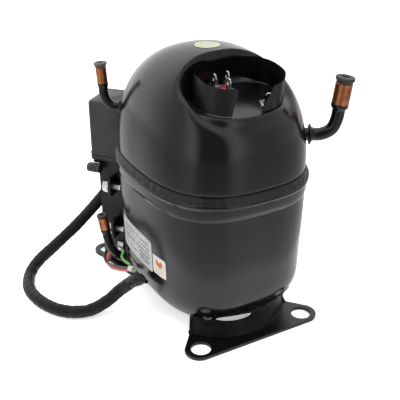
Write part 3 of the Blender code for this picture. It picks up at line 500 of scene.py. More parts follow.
PAINT = paint_look("black_enamel", 0.17, 850.0, 0.00010)
STAMPING = paint_look("stamped_enamel", 0.3, 420.0, 0.0003)
WELD = paint_look("weld_enamel", 0.42, 520.0, 0.0016)
SADDLE = simple_look("saddle_enamel", (0.002, 0.002, 0.0022), (0.006, 0.006, 0.0058), 0.3, scale=60.0,
                     grain=420.0, bump=0.3, specular=0.09)
WELD_SPOT = simple_look("weld_spot", (0.03, 0.03, 0.03), (0.09, 0.09, 0.09), 0.34, scale=300.0, bump=0.4,
                        bump_depth=0.0004)
FENCE = paint_look("fence_enamel", 0.28, 420.0, 0.0002, gloss=0.7)
PLASTIC = simple_look("moulded_plastic", (0.010, 0.010, 0.011), (0.018, 0.018, 0.018), 0.42, grain=1400.0,
                      bump=0.2)
GLAND = simple_look("gland_nylon", (0.010, 0.010, 0.011), (0.02, 0.02, 0.02), 0.35, grain=1600.0)
SLEEVE = simple_look("sleeve_vinyl", (0.003, 0.003, 0.0032), (0.007, 0.007, 0.007), 0.4, scale=90.0,
                     grain=1300.0, bump=0.35, bump_depth=0.0003, specular=0.2)
PLUG = simple_look("plug_rubber", (0.014, 0.011, 0.010), (0.030, 0.025, 0.022), 0.6, scale=120.0, bump=0.3,
                   bump_depth=0.0002)
GREY_PLUG = simple_look("grey_plug_rubber", (0.03, 0.027, 0.025), (0.09, 0.085, 0.08), 0.55, scale=160.0,
                        bump=0.3, bump_depth=0.0002)
ZINC = simple_look("zinc_plate", (0.50, 0.51, 0.52), (0.82, 0.82, 0.80), 0.24, 1.0, scale=150.0,
                   grain=700.0, bump=0.15)
STEEL = simple_look("bare_steel", (0.28, 0.27, 0.26), (0.46, 0.45, 0.44), 0.38, 1.0, scale=60.0, grain=500.0,
                    stretch=(1.0, 1.0, 0.2))
IRON = simple_look("cast_iron", (0.10, 0.10, 0.10), (0.20, 0.195, 0.19), 0.62, 1.0, scale=70.0, grain=420.0,
                   bump=0.5, bump_depth=0.0006)
LAMINATION = simple_look("laminations", (0.14, 0.15, 0.17), (0.30, 0.31, 0.33), 0.5, 1.0, scale=30.0,
                         grain=2.0, bump=0.4, bump_depth=0.0004, stretch=(0.4, 0.4, 900.0))
WINDING = simple_look("enamelled_wire", (0.30, 0.09, 0.03), (0.62, 0.24, 0.09), 0.35, 1.0, scale=90.0,
                      grain=1.0, bump=0.6, bump_depth=0.0005, stretch=(1.0, 1.0, 1400.0))
SEAL = simple_look("seal_glass", (0.42, 0.035, 0.025), (0.66, 0.10, 0.07), 0.18, scale=190.0, coat=0.4)
RED = simple_look("red_insulation", (0.48, 0.045, 0.035), (0.66, 0.12, 0.09), 0.38, scale=160.0)
BLACK_LEAD = simple_look("black_insulation", (0.012, 0.012, 0.012), (0.03, 0.03, 0.03), 0.35, scale=160.0)
NYLON = simple_look("white_nylon", (0.34, 0.34, 0.32), (0.50, 0.50, 0.47), 0.4, scale=140.0)
COPPER = copper_look()
LABEL = print_look()
STICKER = blob_look()
EARTH = earth_look()
ROUND_STICKER = ring_look()


# Shell ---------------------------------------------------------------------------------------


def lower_scale(z):
    """How much of the lower shell's full oval is left at this height."""
    straight = 1.0 - LOWER_TAPER * (TAPER_FROM - max(z, CORNER_Z))
    if z >= CORNER_Z:
        return straight
    depth = (CORNER_Z - z) / (CORNER_Z - BOTTOM_Z)
    return straight * max(0.0, 1.0 - depth ** CORNER_POWER) ** (1.0 / CORNER_POWER)


def wall_reach(z, clear):
    scale = lower_scale(z)
    return LOWER_A * scale + clear, LOWER_B * scale + clear


def wall_x(y, z, clear=0.0):
    """The lower shell's half length at this height and width."""
    a, b = wall_reach(z, clear)
    return a * max(0.0, 1.0 - min(1.0, abs(y) / b) ** LOWER_N) ** (1.0 / LOWER_N)


def wall_y(x, z, clear=0.0):
    a, b = wall_reach(z, clear)
    return b * max(0.0, 1.0 - min(1.0, abs(x) / a) ** LOWER_N) ** (1.0 / LOWER_N)


def rim_ring(a, z):
    """The lower shell's ring where its wall flares from its own oval out to the lip's."""
    plain_a, plain_b = wall_reach(STRAIGHT_Z, 0.0)
    share = (a - plain_a) / (LIP_A - plain_a)
    return oval(a, plain_b + (LIP_B - plain_b) * share, LOWER_N + (LIP_N - LOWER_N) * share, z)


def lower_shell():
    """The lower shell: rolled lip, flare, slightly tapered wall and rounded bottom, as one closed skin."""
    flare = ((86.95, LIP_Z), (87.0, 131.1), (86.85, 130.5), (86.4, 129.8), (85.7, 129.1), (84.8, 128.4),
             (83.95, 127.5), (83.25, 126.3), (82.65, 124.3), (82.2, 120.5))
    outer = [rim_ring(a, z) for a, z in flare]
    straight = 8
    for k in range(straight + 1):
        z = STRAIGHT_Z + (CORNER_Z - STRAIGHT_Z) * k / straight
        a, b = wall_reach(z, 0.0)
        outer.append(oval(a, b, LOWER_N, z))
    bend = 30
    inner_end = []
    for k in range(1, bend):
        sine = math.sin(math.pi / 2 * k / bend) ** (2.0 / CORNER_POWER)
        z = CORNER_Z - (CORNER_Z - BOTTOM_Z) * sine
        a, b = wall_reach(z, 0.0)
        outer.append(oval(a, b, LOWER_N, z))
        if a > 4 * WALL:
            inner_end.append(oval(a - WALL, b - WALL, LOWER_N, z + WALL * sine))
    turns = [math.pi * k / 8 for k in range(1, 8)]
    lip = [rim_ring(LIP_ROLL_A + LIP_ROLL_R * math.cos(t), LIP_Z + LIP_ROLL_R * math.sin(t)) for t in turns]
    inner = [rim_ring(a, z) for a, z in ((84.35, LIP_Z), (84.35, 123.6), (82.6, 118.4), (80.6, 114.0))]
    for z in (STRAIGHT_Z, 78.0, CORNER_Z):
        a, b = wall_reach(z, -WALL)
        inner.append(oval(a, b, LOWER_N, z))
    rings = list(reversed(outer)) + lip + inner + inner_end
    piece("lower_shell_skin", loft(rings), PAINT, ("lower_shell",))


def pocket_floor(x):
    return POCKET_CENTRE.z - math.tan(POCKET_TILT) * (x - POCKET_CENTRE.x)


def lower_of(a, b, soften):
    """The lower of two heights, with the crease between them rounded."""
    share = max(0.0, 1.0 - abs(a - b) / (2 * soften))
    return min(a, b) - soften * 0.5 * share * share


def shoulder(x, y):
    """How far the pocket's floor rolls down in front of the fence's foot, and how softly it ends."""
    u, v = x - POCKET_CENTRE.x, y
    rho = ((abs(u) / FENCE_A) ** FENCE_N + (abs(v) / FENCE_B) ** FENCE_N) ** (1.0 / FENCE_N)
    past = math.hypot(u, v) * (1.0 - 1.0 / max(rho, 1.0)) - 1.2
    if past <= 0.0:
        return 0.0, POCKET_CREASE
    ahead = smoothstep((x - SHOULDER_FROM) / 14.0)
    drop = SHOULDER_DROP * (1.0 - math.exp(-1.1 * past * past / (past + 1.0) / SHOULDER_DROP)) * ahead
    return drop, POCKET_CREASE + SHOULDER_CREASE * smoothstep(past / 5.0) * ahead


def with_pocket(point):
    """The dome's point, let down into the pocket where it lies inside it."""
    x, y, z = point
    if z <= DOME_Z:
        return point
    half = POCKET_FRONT if x > POCKET_X else POCKET_BACK
    sideways = (abs(y) / POCKET_B) ** POCKET_N
    across = (abs(x - POCKET_X) / half) ** POCKET_N + sideways
    flat = POCKET_FLAT - POCKET_SIDE_EASE * sideways / max(across, 1e-6)
    inside = smoothstep((1.0 - across ** (1.0 / POCKET_N)) / (1.0 - flat))
    drop, soften = shoulder(x, y)
    return Vector((x, y, z + (lower_of(z, pocket_floor(x) - drop, soften) - z) * inside))


def dome_ring(share):
    """A ring of the dome, from its foot at share 0 to its top at 1."""
    angle = math.pi / 2 * share
    scale = math.cos(angle) ** (2.0 / DOME_POWER)
    z = DOME_Z + (TOP_Z - DOME_Z) * math.sin(angle) ** (2.0 / DOME_POWER)
    n = LIP_N + (DOME_N - LIP_N) * share
    return [with_pocket(p) for p in oval(UPPER_A * scale, UPPER_B * scale, n, z)]


def upper_shell():
    """The upper shell: a skirt inside the lip, an undercut above the weld, the dome and its pocket."""
    skirt = ((84.0, SKIRT_Z), (84.0, 132.0), (84.0, 137.9), (83.5, 138.6), (83.55, 139.2), (83.95, 139.9),
             (84.0, DOME_Z - 1.0))
    rings = [oval(a, a - UPPER_A + UPPER_B, LIP_N, z) for a, z in skirt]
    steps = 104
    rings += [dome_ring(k / steps) for k in range(steps)]
    bm = loft(rings, caps=False)
    top = [v for v in bm.verts if v.is_boundary and v.co.z > TOP_Z - 3.0]
    bmesh.ops.contextual_create(bm, geom=top)
    piece("upper_shell_skin", bm, PAINT, ("upper_shell",), thick=WALL)


def girth_weld():
    """The weld bead that fills the corner over the lip, with the ripple of its pool."""
    section = ((-0.4, 132.0), (1.9, 132.2), (2.75, 132.9), (2.95, 133.7), (2.45, 134.7), (1.9, 135.9),
               (1.35, 136.9), (0.85, 137.8), (0.3, 138.4), (-0.4, 138.2))
    count = 720
    rings = []
    for out, z in section:
        ring = oval(UPPER_A + out, UPPER_B + out, LIP_N, z, count)
        if out > 0.2:
            for i, point in enumerate(ring):
                ripple = 0.16 * math.sin(math.tau * i * 210 / count + 0.6 * z)
                lump = noise.noise(point * 0.22) * 0.42 + noise.noise(point * 0.9) * 0.3
                share = smoothstep(out / 1.2)
                way = Vector((point.x, point.y, 0.0)).normalized()
                ring[i] = point + way * (ripple + lump) * share + Vector((0, 0, lump * 0.5 * share))
        rings.append(ring)
    piece("girth_weld_bead", loft(rings, wrap=True), WELD, ("girth_weld",), sharp=80.0)


# Feet ----------------------------------------------------------------------------------------


def saddle_x(y):
    """Where the foot's plate turns up into its saddle."""
    return max(SADDLE_CENTRE_X + math.sqrt(SADDLE_R ** 2 - min(abs(y), 56.0) ** 2), TAB_X)


def foot_plate(side, hole_x):
    edge = hole_x + FOOT_EDGE
    inner = [(saddle_x(y) - 1.0, y) for y in (SADDLE_HALF * k / 30 for k in range(-30, 31))]
    outer = []
    for quarter, sign in ((range(-4, 13), 1), (range(12, -5, -1), -1)):
        for k in quarter:
            angle = math.radians(90.0 - 7.5 * k)
            x = edge - FOOT_EDGE + FOOT_EDGE * math.cos(angle)
            outer.append((x, sign * (FOOT_HALF - FOOT_EDGE + FOOT_EDGE * math.sin(angle))))
    plate = prism([(side * x, y) for x, y in inner + outer], 0.0, FOOT_T)
    holes = []
    for sign in (1, -1):
        place = Matrix.Translation((side * hole_x, sign * HOLE_HALF, 0.0))
        holes.append(turned([(HOLE_R, 6.0), (0.0, 6.0), (0.0, -3.0), (HOLE_R, -3.0)], place, 64))
    return boolean(plate, holes, "DIFFERENCE")


def saddle_top(y):
    """The height of the saddle's upper edge: nearly level, with a round ear at each end."""
    beside = (abs(y) - EAR_Y) / EAR_R
    level = 24.0 - 1.6 * math.exp(-((abs(y) - 27.5) / 4.5) ** 2)
    ear = EAR_Z + EAR_R * math.sqrt(max(0.0, 1.0 - beside * beside)) * 0.95 if abs(beside) < 1.0 else 0.0
    if abs(y) > EAR_Y:
        return max(ear, 12.0 + 10.5 * (1.0 - smoothstep((abs(y) - 43.5) / 2.6)))
    return max(level, ear)


def saddle_sheet(side):
    """The saddle: a sheet that bends up from the plate and leans on the shell, with a long slot in it."""
    bm = bmesh.new()
    shares = [0.0, 0.04, 0.09, 0.15, 0.22, 0.3, 0.38, 0.46, 0.54, 0.62, 0.7, 0.78, 0.86, 0.93, 1.0]
    slot_low, slot_high = 9, 11
    columns = 160
    rows = []
    for c in range(columns + 1):
        base_y = -SADDLE_HALF + 2 * SADDLE_HALF * c / columns
        top_y = base_y * 0.92
        top = saddle_top(top_y)
        row = []
        for k, share in enumerate(shares):
            z = 1.5 + (top - 1.5) * share
            y = base_y + (top_y - base_y) * smoothstep(share * 1.2)
            off = side * y - SLOT_Y
            if abs(off) < SLOT_HALF and slot_low <= k <= slot_high:
                half = SLOT_HIGH * (1.0 - (off / SLOT_HALF) ** 2) ** 0.5
                z = SLOT_Z + half * (k - (slot_low + slot_high) / 2)
            base_x = saddle_x(y)
            bend = 3.4 * (1.0 - min(1.0, (z - 1.5) / 4.5)) ** 2
            lean = base_x - SADDLE_LEAN * smoothstep((z - 1.5) / 21.0)
            x = max(lean, wall_x(y, max(z, 4.0), 1.4)) + bend
            row.append(bm.verts.new((side * (x - 1.0), y, max(z, 2.0))))
        rows.append(row)
    for c, (row, after) in enumerate(zip(rows, rows[1:])):
        y = -SADDLE_HALF + 2 * SADDLE_HALF * (c + 0.5) / columns
        for k in range(len(shares) - 1):
            if abs(side * y * 0.925 - SLOT_Y) < SLOT_HALF * 0.97 and slot_low <= k < slot_high:
                continue
            bm.faces.new((row[k], after[k], after[k + 1], row[k + 1]))
    loose = [v for v in bm.verts if not v.link_faces]
    bmesh.ops.delete(bm, geom=loose, context="VERTS")
    bmesh.ops.recalc_face_normals(bm, faces=bm.faces)
    bm.faces.ensure_lookup_table()
    if bm.faces[len(bm.faces) // 2].normal.x * side < 0:
        bmesh.ops.reverse_faces(bm, faces=bm.faces)
    return bm


def thicken(bm, thickness):
    """Gives an open sheet, whose faces look outwards, its thickness."""
    bm.normal_update()
    faces, rims = list(bm.faces), [edge.link_loops[0] for edge in bm.edges if edge.is_boundary]
    rims = [(loop.vert, loop.link_loop_next.vert) for loop in rims]
    back = {v: bm.verts.new(v.co - v.normal * thickness) for v in list(bm.verts)}
    for a, b in rims:
        bm.faces.new((b, a, back[a], back[b]))
    for face in faces:
        bm.faces.new([back[v] for v in reversed(face.verts)])
    return bm


def foot(name, side, hole_x):
    """A foot: its flat plate, its saddle, and a weld's dimple in each of the saddle's ears."""
    piece(name + "_plate", foot_plate(side, hole_x), STAMPING, (name,), bevel=0.55, sharp=45.0)
    piece(name + "_saddle", thicken(saddle_sheet(side), 2.4), SADDLE, sharp=50.0)
    x = side * (max(saddle_x(EAR_Y) - SADDLE_LEAN, wall_x(EAR_Y, EAR_Z, 1.4)) - 1.3)
    section = [(3.9, 0.0), (3.6, 0.55), (3.1, 0.8), (2.4, 0.7), (1.6, 0.25), (0.0, 0.1), (0.0, -2.0),
               (3.9, -2.0)]
    for sign, end in ((1, "left"), (-1, "right")):
        seat = turned_to((x, sign * EAR_Y, EAR_Z), (side * 0.80, sign * 0.42, -0.42))
        piece(f"{name}_weld_spot_{end}", turned(section, seat, 32), WELD_SPOT)


# Terminal ------------------------------------------------------------------------------------


def fence_wall():
    """The terminal's oval guard: one bent strip, open at the front, with a long notch in its back edge."""
    columns, levels = 260, 10
    gap_right, gap_left = (4.5, 15.6), (-19.3, -17.0)
    notch_low, notch_high, notch_depth = -10.4, 5.2, 1.7
    bm = bmesh.new()
    rows = []
    for r in range(levels + 1):
        share = r / levels
        right = gap_right[0] + (gap_right[1] - gap_right[0]) * share
        left = gap_left[0] + (gap_left[1] - gap_left[0]) * share
        flare = 1.0 + (FENCE_FLARE - 1.0) * share
        start = math.asin((right / FENCE_B) ** (FENCE_N / 2))
        end = math.tau - math.asin((-left / FENCE_B) ** (FENCE_N / 2))
        row = []
        for k in range(columns + 1):
            angle = start + (end - start) * k / columns
            c, s = math.cos(angle), math.sin(angle)
            x = FENCE_A * flare * math.copysign(abs(c) ** (2 / FENCE_N), c)
            y = FENCE_B * flare * math.copysign(abs(s) ** (2 / FENCE_N), s)
            top = FENCE_HEIGHT
            if x < 0.0:
                ramp = smoothstep((y - notch_low) / 1.6) * (1.0 - smoothstep((y - notch_high) / 1.6))
                top -= notch_depth * ramp
            if y > 12.0 and x > 8.0:
                top -= 2.0 * smoothstep((x - 14.0) / 8.0)
            row.append(bm.verts.new(POCKET @ Vector((x, y, 0.55 + (top - 0.55) * share))))
        rows.append(row)
    for row, after in zip(rows, rows[1:]):
        for k in range(columns):
            bm.faces.new((row[k], row[k + 1], after[k + 1], after[k]))
    bmesh.ops.solidify(bm, geom=bm.faces[:], thickness=1.0)
    piece("terminal_fence_strip", bm, FENCE, ("terminal_fence",), bevel=0.25, sharp=50.0)


def terminal():
    """Steel cup with its red seal and three pins, each with a spade tab that has a hole."""
    spot = POCKET @ Matrix.Translation(TERMINAL_AT)
    cup = [(13.0, 0.2), (13.0, 2.0), (12.6, 2.8), (11.8, 3.1), (11.0, 3.0), (10.5, 2.4), (10.3, 0.2),
           (10.3, -4.6), (11.4, -4.6), (12.8, -2.6)]
    piece("terminal_cup_rim", turned(cup, spot, 72), STEEL, ("terminal_cup",))
    seal = turned([(9.9, 1.0), (9.2, 1.5), (7.0, 1.9), (0.0, 2.1), (0.0, -3.4), (9.9, -3.4)], spot, 64)
    piece("terminal_seal", seal, SEAL, ("terminal_glass",))
    for k in range(3):
        angle = math.radians(125.0 + 120.0 * k)
        stand = spot @ Matrix.Translation((7.0 * math.cos(angle), 7.0 * math.sin(angle), 0.0))
        pin = turned([(1.6, 11.6), (1.2, 12.6), (0.0, 12.9), (0.0, -12.0), (1.6, -12.0), (1.6, 1.6),
                      (2.4, 2.0), (2.4, 3.0), (1.6, 3.4)], stand, 24)
        outline = round_corners([(-3.1, 3.4), (3.1, 3.4), (3.1, 14.8), (1.6, 17.4), (-1.6, 17.4),
                                 (-3.1, 14.8)], 0.7, 3)
        upright = stand @ Matrix.Rotation(math.radians(90.0), 4, "X")
        tab = prism(outline, -0.5, 0.5, upright)
        hole = turned([(1.05, 2.0), (0.0, 2.0), (0.0, -2.0), (1.05, -2.0)],
                      upright @ Matrix.Translation((0, 13.6, 0)), 24)
        tab = boolean(tab, [hole], "DIFFERENCE")
        piece(f"terminal_pin_{k + 1}_tab", boolean(pin, [tab], "UNION"), ZINC,
              (f"terminal_pin_{k + 1}",), bevel=0.12)
        collar = turned([(3.3, 1.6), (2.9, 3.2), (1.7, 3.6), (1.62, 1.6)], stand, 32)
        piece(f"terminal_pin_{k + 1}_collar", collar, SEAL)


def earth_tab():
    """A bent earth lug: a flat base with a screw, and an upright spade blade with a hole."""
    base = POCKET @ Matrix.Translation((16.5, 15.5, 0.0)) @ Matrix.Rotation(math.radians(-20.0), 4, "Z")
    flat = prism(round_corners([(-5.5, -4.2), (4.6, -4.2), (4.6, 4.2), (-5.5, 4.2)], 1.0, 4), 0.5, 1.4, base)
    lean = base @ Matrix.Rotation(math.radians(8.0), 4, "Y") @ Matrix.Translation((3.6, 0.0, 0.0))
    upright = lean @ Matrix.Rotation(math.radians(90.0), 4, "Z") @ Matrix.Rotation(math.radians(90.0), 4, "X")
    blade = prism(round_corners([(-3.2, 0.6), (3.2, 0.6), (3.2, 12.0), (1.8, 14.0), (-1.8, 14.0),
                                 (-3.2, 12.0)], 0.7, 3), 0.0, 0.9, upright)
    hole = turned([(1.2, 3.0), (0.0, 3.0), (0.0, -3.0), (1.2, -3.0)],
                  upright @ Matrix.Translation((0, 9.6, 0)), 24)
    blade = boolean(blade, [hole], "DIFFERENCE")
    piece("earth_lug", boolean(flat, [blade], "UNION"), ZINC, ("earth_tab",), bevel=0.15)
    screw = turned([(2.6, 1.4), (2.6, 2.3), (2.2, 3.0), (1.0, 3.25), (0.0, 3.3), (0.0, 1.4)],
                   base @ Matrix.Translation((-1.6, 0.0, 0.0)), 32)
    slot_cut = block((-3.0, -0.35, 2.6), (3.0, 0.35, 4.0), base @ Matrix.Translation((-1.6, 0.0, 0.0)))
    piece("earth_screw", boolean(screw, [slot_cut], "DIFFERENCE"), STEEL, bevel=0.08)


# Tubes ---------------------------------------------------------------------------------------


def service_tube(name, route, radius, end_radius, end_length, bore, paint_end, plug, plug_look):
    """A stub tube: black enamel as far as it was masked, bare copper above, and a rubber plug."""
    end = Vector(route[-1])
    way = (end - Vector(route[-2])).normalized()
    seat = turned_to(end - way * 2.0, way)
    points = smooth_route(route, 1.6)
    paint = sweep(points[:-1], radius + 0.05, 32)
    swell = turned([(radius + 0.05, -1.0), (radius + 0.1, 0.4), (end_radius * 0.93, 1.6),
                    (end_radius + 0.08, 2.8), (end_radius + 0.1, paint_end), (bore, paint_end), (bore, 4.5),
                    (0.0, 4.5), (0.0, -1.0)], seat, 48)
    for vert in swell.verts:
        local = seat.inverted() @ vert.co
        if local.z > paint_end - 0.5:
            turn, outside = math.atan2(local.y, local.x), local.xy.length > bore + 0.2
            vert.co += way * 0.35 * math.sin(5.0 * turn + radius) * outside
    piece(name + "_enamel", boolean(paint, [swell], "UNION"), PAINT, (name,), sharp=50.0)
    copper = turned([(end_radius, 3.2), (end_radius, end_length - 0.3), (end_radius - 0.3, end_length),
                     (bore + 0.2, end_length), (bore, end_length - 0.3), (bore, 4.6), (bore, 3.2)], seat, 64)
    piece(name + "_copper", copper, COPPER)
    top, plug_radius, plug_height = end_length + 0.3, plug[0], plug[1]
    body = name.replace("_tube", "_plug")
    profile = [
        (plug_radius * 0.84, top), (plug_radius * 0.85, top + plug_height * 0.34),
        (plug_radius * 0.95, top + plug_height * 0.42), (plug_radius, top + plug_height * 0.52),
        (plug_radius, top + plug_height * 0.84), (plug_radius * 0.95, top + plug_height),
        (plug_radius * 0.46, top + plug_height), (plug_radius * 0.40, top + plug_height * 0.93),
        (plug_radius * 0.36, top + plug_height * 0.2), (0.0, top + plug_height * 0.14), (0.0, 8.0),
        (bore - 0.9, 8.0), (bore - 0.3, 9.5), (bore - 0.3, top),
    ]
    piece(body + "_rubber", turned(profile, seat, 64), plug_look, (body,), body=body,
          sharp=60.0)


def tubes():
    service_tube(
        "suction_tube",
        ((53.2, 50.4, 165.0), (58.7, 60.0, 165.0), (63.0, 67.6, 165.1), (67.0, 74.6, 169.5),
         (68.8, 77.8, 178.0), (69.4, 78.9, 188.0)),
        5.25, 7.05, 22.0, 6.2, 5.2, (7.9, 4.8), PLUG,
    )
    service_tube(
        "discharge_tube",
        ((-51.0, -47.5, 173.0), (-57.0, -58.0, 173.2), (-60.2, -63.6, 176.4), (-62.2, -67.0, 183.6),
         (-62.5, -67.5, 192.0)),
        3.9, 4.5, 18.5, 3.5, 4.9, (5.6, 3.4), GREY_PLUG,
    )
    service_tube(
        "process_tube",
        ((-48.5, -47.4, 25.0), (-54.0, -57.0, 25.0), (-58.2, -64.3, 28.0), (-61.2, -69.6, 36.0),
         (-62.6, -72.2, 47.0), (-63.1, -73.0, 53.0)),
        4.0, 4.7, 16.5, 3.7, 4.9, (5.2, 2.8), PLUG,
    )
    collar = [(7.9, 0.2), (8.3, 0.5), (8.35, 1.1), (8.1, 1.6), (6.8, 2.0), (5.9, 2.8), (5.4, 4.0), (5.4, 0.2)]
    place = Vector((58.7, 60.0, 165.0)) - TUBE_DIR * 1.6
    piece("suction_collar_ring", turned(collar, turned_to(place, TUBE_DIR), 64), STAMPING,
          ("suction_collar",))
    for name, centre, way, radius in (("discharge", (-55.6, -55.6, 173.1), -TUBE_DIR, 3.9),
                                      ("process", (-53.0, -55.4, 25.0), -TUBE_DIR, 4.0)):
        fillet = [(radius, -2.5), (radius + 3.2, -2.5), (radius + 2.6, 0.4), (radius + 1.2, 1.5),
                  (radius + 0.1, 2.1)]
        bm = turned(fillet, turned_to(centre, way), 48)
        for vert in bm.verts:
            vert.co += way * 0.3 * noise.noise(vert.co * 0.5)
        piece(name + "_braze", bm, WELD, sharp=70.0)


# Labels --------------------------------------------------------------------------------------


def label(name, x_low, x_high, z_low, z_high, look, stands_for):
    """A thin label that follows the shell, with rounded corners and a map for its print."""
    columns, rows, radius = 36, 20, 1.6
    bm = bmesh.new()
    layer = bm.loops.layers.uv.new("print")
    grid, places = [], {}
    for r in range(rows + 1):
        z = z_low + (z_high - z_low) * r / rows
        from_edge = min(z - z_low, z_high - z)
        trim = radius - math.sqrt(radius ** 2 - (radius - from_edge) ** 2) if from_edge < radius else 0.0
        grid.append([])
        for c in range(columns + 1):
            x = x_low + trim + (x_high - x_low - 2 * trim) * c / columns
            vert = bm.verts.new((x, -wall_y(x, z, 0.3), z))
            places[vert] = ((x - x_low) / (x_high - x_low), (z - z_low) / (z_high - z_low))
            grid[-1].append(vert)
    for r in range(rows):
        for c in range(columns):
            bm.faces.new((grid[r][c], grid[r][c + 1], grid[r + 1][c + 1], grid[r + 1][c]))
    for face in bm.faces:
        for loop in face.loops:
            loop[layer].uv = places[loop.vert]
    bmesh.ops.solidify(bm, geom=bm.faces[:], thickness=0.2)
    piece(name, bm, look, (stands_for,), sharp=60.0)


def top_sticker():
    """A round sticker that lies on the dome's crown."""
    radius, rings, count = 10.5, 8, 64
    centre_x, centre_y = -3.4, -0.6
    bm = bmesh.new()
    layer = bm.loops.layers.uv.new("print")

    def crown(x, y):
        reach = (abs(x / UPPER_A) ** DOME_N + abs(y / UPPER_B) ** DOME_N) ** (1.0 / DOME_N)
        return DOME_Z + (TOP_Z - DOME_Z) * (1.0 - reach ** DOME_POWER) ** (1.0 / DOME_POWER) + 0.35

    rows = []
    for r in range(1, rings + 1):
        row = []
        for k in range(count):
            angle = math.tau * k / count
            x = centre_x + radius * r / rings * math.cos(angle)
            y = centre_y + radius * r / rings * math.sin(angle)
            row.append(bm.verts.new((x, y, crown(x, y))))
        rows.append(row)
    bm.faces.new(rows[0])
    for row, after in zip(rows, rows[1:]):
        for k in range(count):
            bm.faces.new((row[k], row[(k + 1) % count], after[(k + 1) % count], after[k]))
    for face in bm.faces:
        for loop in face.loops:
            away = math.hypot(loop.vert.co.x - centre_x, loop.vert.co.y - centre_y) / radius
            loop[layer].uv = (away, 0.5)
    bmesh.ops.solidify(bm, geom=bm.faces[:], thickness=0.25)
    piece("top_sticker_disc", bm, ROUND_STICKER, ("top_sticker",), sharp=60.0)


# Electrical box ------------------------------------------------------------------------------


def rounded_block(low, high, radius, matrix, edge):
    """A box with round upright corners, drawn in slightly at its top and bottom edges."""
    rings = []
    for z, inset in ((low[2], edge), (low[2] + edge, 0.0), (high[2] - edge, 0.0),
                     (high[2] - edge * 0.4, edge * 0.25), (high[2], edge)):
        corners = [(low[0] + inset, low[1] + inset), (high[0] - inset, low[1] + inset),
                   (high[0] - inset, high[1] - inset), (low[0] + inset, high[1] - inset)]
        rings.append([Vector((x, y, z)) for x, y in round_corners(corners, radius - inset * 0.5, 6)])
    bm = loft(rings)
    bmesh.ops.transform(bm, matrix=matrix, verts=bm.verts)
    return bm


def start_box():
    """The start box: a moulded cover with a parting lip and ribs, and its base tray."""
    cover = rounded_block((-27.0, -1.5, 113.2), (8.0, 40.0, 166.0), 4.6, CORNER, 2.4)
    cover = boolean(cover, [block((-25.0, 0.5, 105.0), (6.0, 38.0, 164.0), CORNER)], "DIFFERENCE")
    lip = rounded_block((-27.5, -2.0, 113.2), (8.5, 40.5, 116.4), 4.8, CORNER, 0.5)
    lip = boolean(lip, [block((-25.0, 0.5, 105.0), (6.0, 38.0, 140.0), CORNER)], "DIFFERENCE")
    piece("start_box_cover", boolean(cover, [lip], "UNION"), PLASTIC, ("box_cover",),
          bevel=0.5)
    for k in (1, 2, 3):
        y = 10.0 * k - 2.0
        rib = block((8.0, y, 120.0), (8.9, y + 1.4, 158.0), CORNER)
        piece(f"start_box_rib_{k}", rib, PLASTIC, bevel=0.3)
    tray = rounded_block((-27.6, -1.8, 108.2), (8.6, 40.6, 112.9), 4.8, CORNER, 0.6)
    piece("start_box_tray", tray, PLASTIC, ("box_base",), bevel=0.4)


def bracket():
    """The pressed bracket: a tall plate with two ears, a ledge under the box, and a toe on the foot."""
    up = CORNER @ Matrix.Rotation(math.radians(90.0), 4, "X")
    plate = prism(round_corners([(-31.5, 9.0), (0.0, 9.0), (0.0, 107.4), (-31.5, 107.4)], 2.2), -2.5, 0.0, up)
    ledge = prism(round_corners([(-27.0, -0.6), (6.0, -0.6), (6.0, 40.0), (-27.0, 40.0)], 2.0), 105.4,
                  107.9, CORNER)
    stand = block((-26.0, 0.3, 3.3), (-6.0, 2.1, 11.0), CORNER)
    toe = prism(round_corners([(-25.0, -0.4), (-7.0, -0.4), (-7.0, 18.0), (-25.0, 18.0)], 3.0), 3.2, 5.8,
                CORNER)
    side = CORNER @ Matrix(((0, 0, 1, 0), (1, 0, 0, 0), (0, 1, 0, 0), (0, 0, 0, 1)))
    ear = round_corners([(-14.0, 0.0), (1.0, 0.0), (1.0, 18.0), (-14.0, 18.0)], 3.0)
    ears = [prism(ear, out, out + 2.5, side @ Matrix.Translation((0.0, z, 0.0)))
            for out, z in ((-17.5, 78.0), (-18.5, 34.0))]
    bm = boolean(plate, [ledge, stand, toe] + ears, "UNION")
    seats = [turned_to(CORNER @ Vector((out, -7.5, z)), OUT) for out, z in ((-16.25, 87.0), (-17.25, 43.0))]
    holes = [turned([(3.4, 8.0), (0.0, 8.0), (0.0, -9.0), (3.4, -9.0)], seat, 32) for seat in seats]
    piece("bracket_stamping", boolean(bm, holes, "DIFFERENCE"), STAMPING, ("box_bracket",),
          bevel=0.4)
    for k, seat in enumerate(seats, 1):
        bolt(f"bracket_bolt_{k}", seat)
    tab = prism(round_corners([(-3.0, 0.0), (3.0, 0.0), (3.0, 11.0), (-3.0, 11.0)], 1.0, 3), 0.0, 0.8,
                CORNER @ Matrix.Translation((-19.0, -1.6, 14.0)) @ Matrix.Rotation(math.radians(90.0), 4,
                                                                                   "X"))
    screw = turned([(2.4, 0.0), (2.4, 1.6), (1.8, 2.2), (0.0, 2.3), (0.0, -0.5), (2.4, -0.5)],
                   turned_to(CORNER @ Vector((-19.0, -2.4, 18.0)), -ALONG), 24)
    piece("lead_terminal_lug", boolean(tab, [screw], "UNION"), ZINC, bevel=0.12)


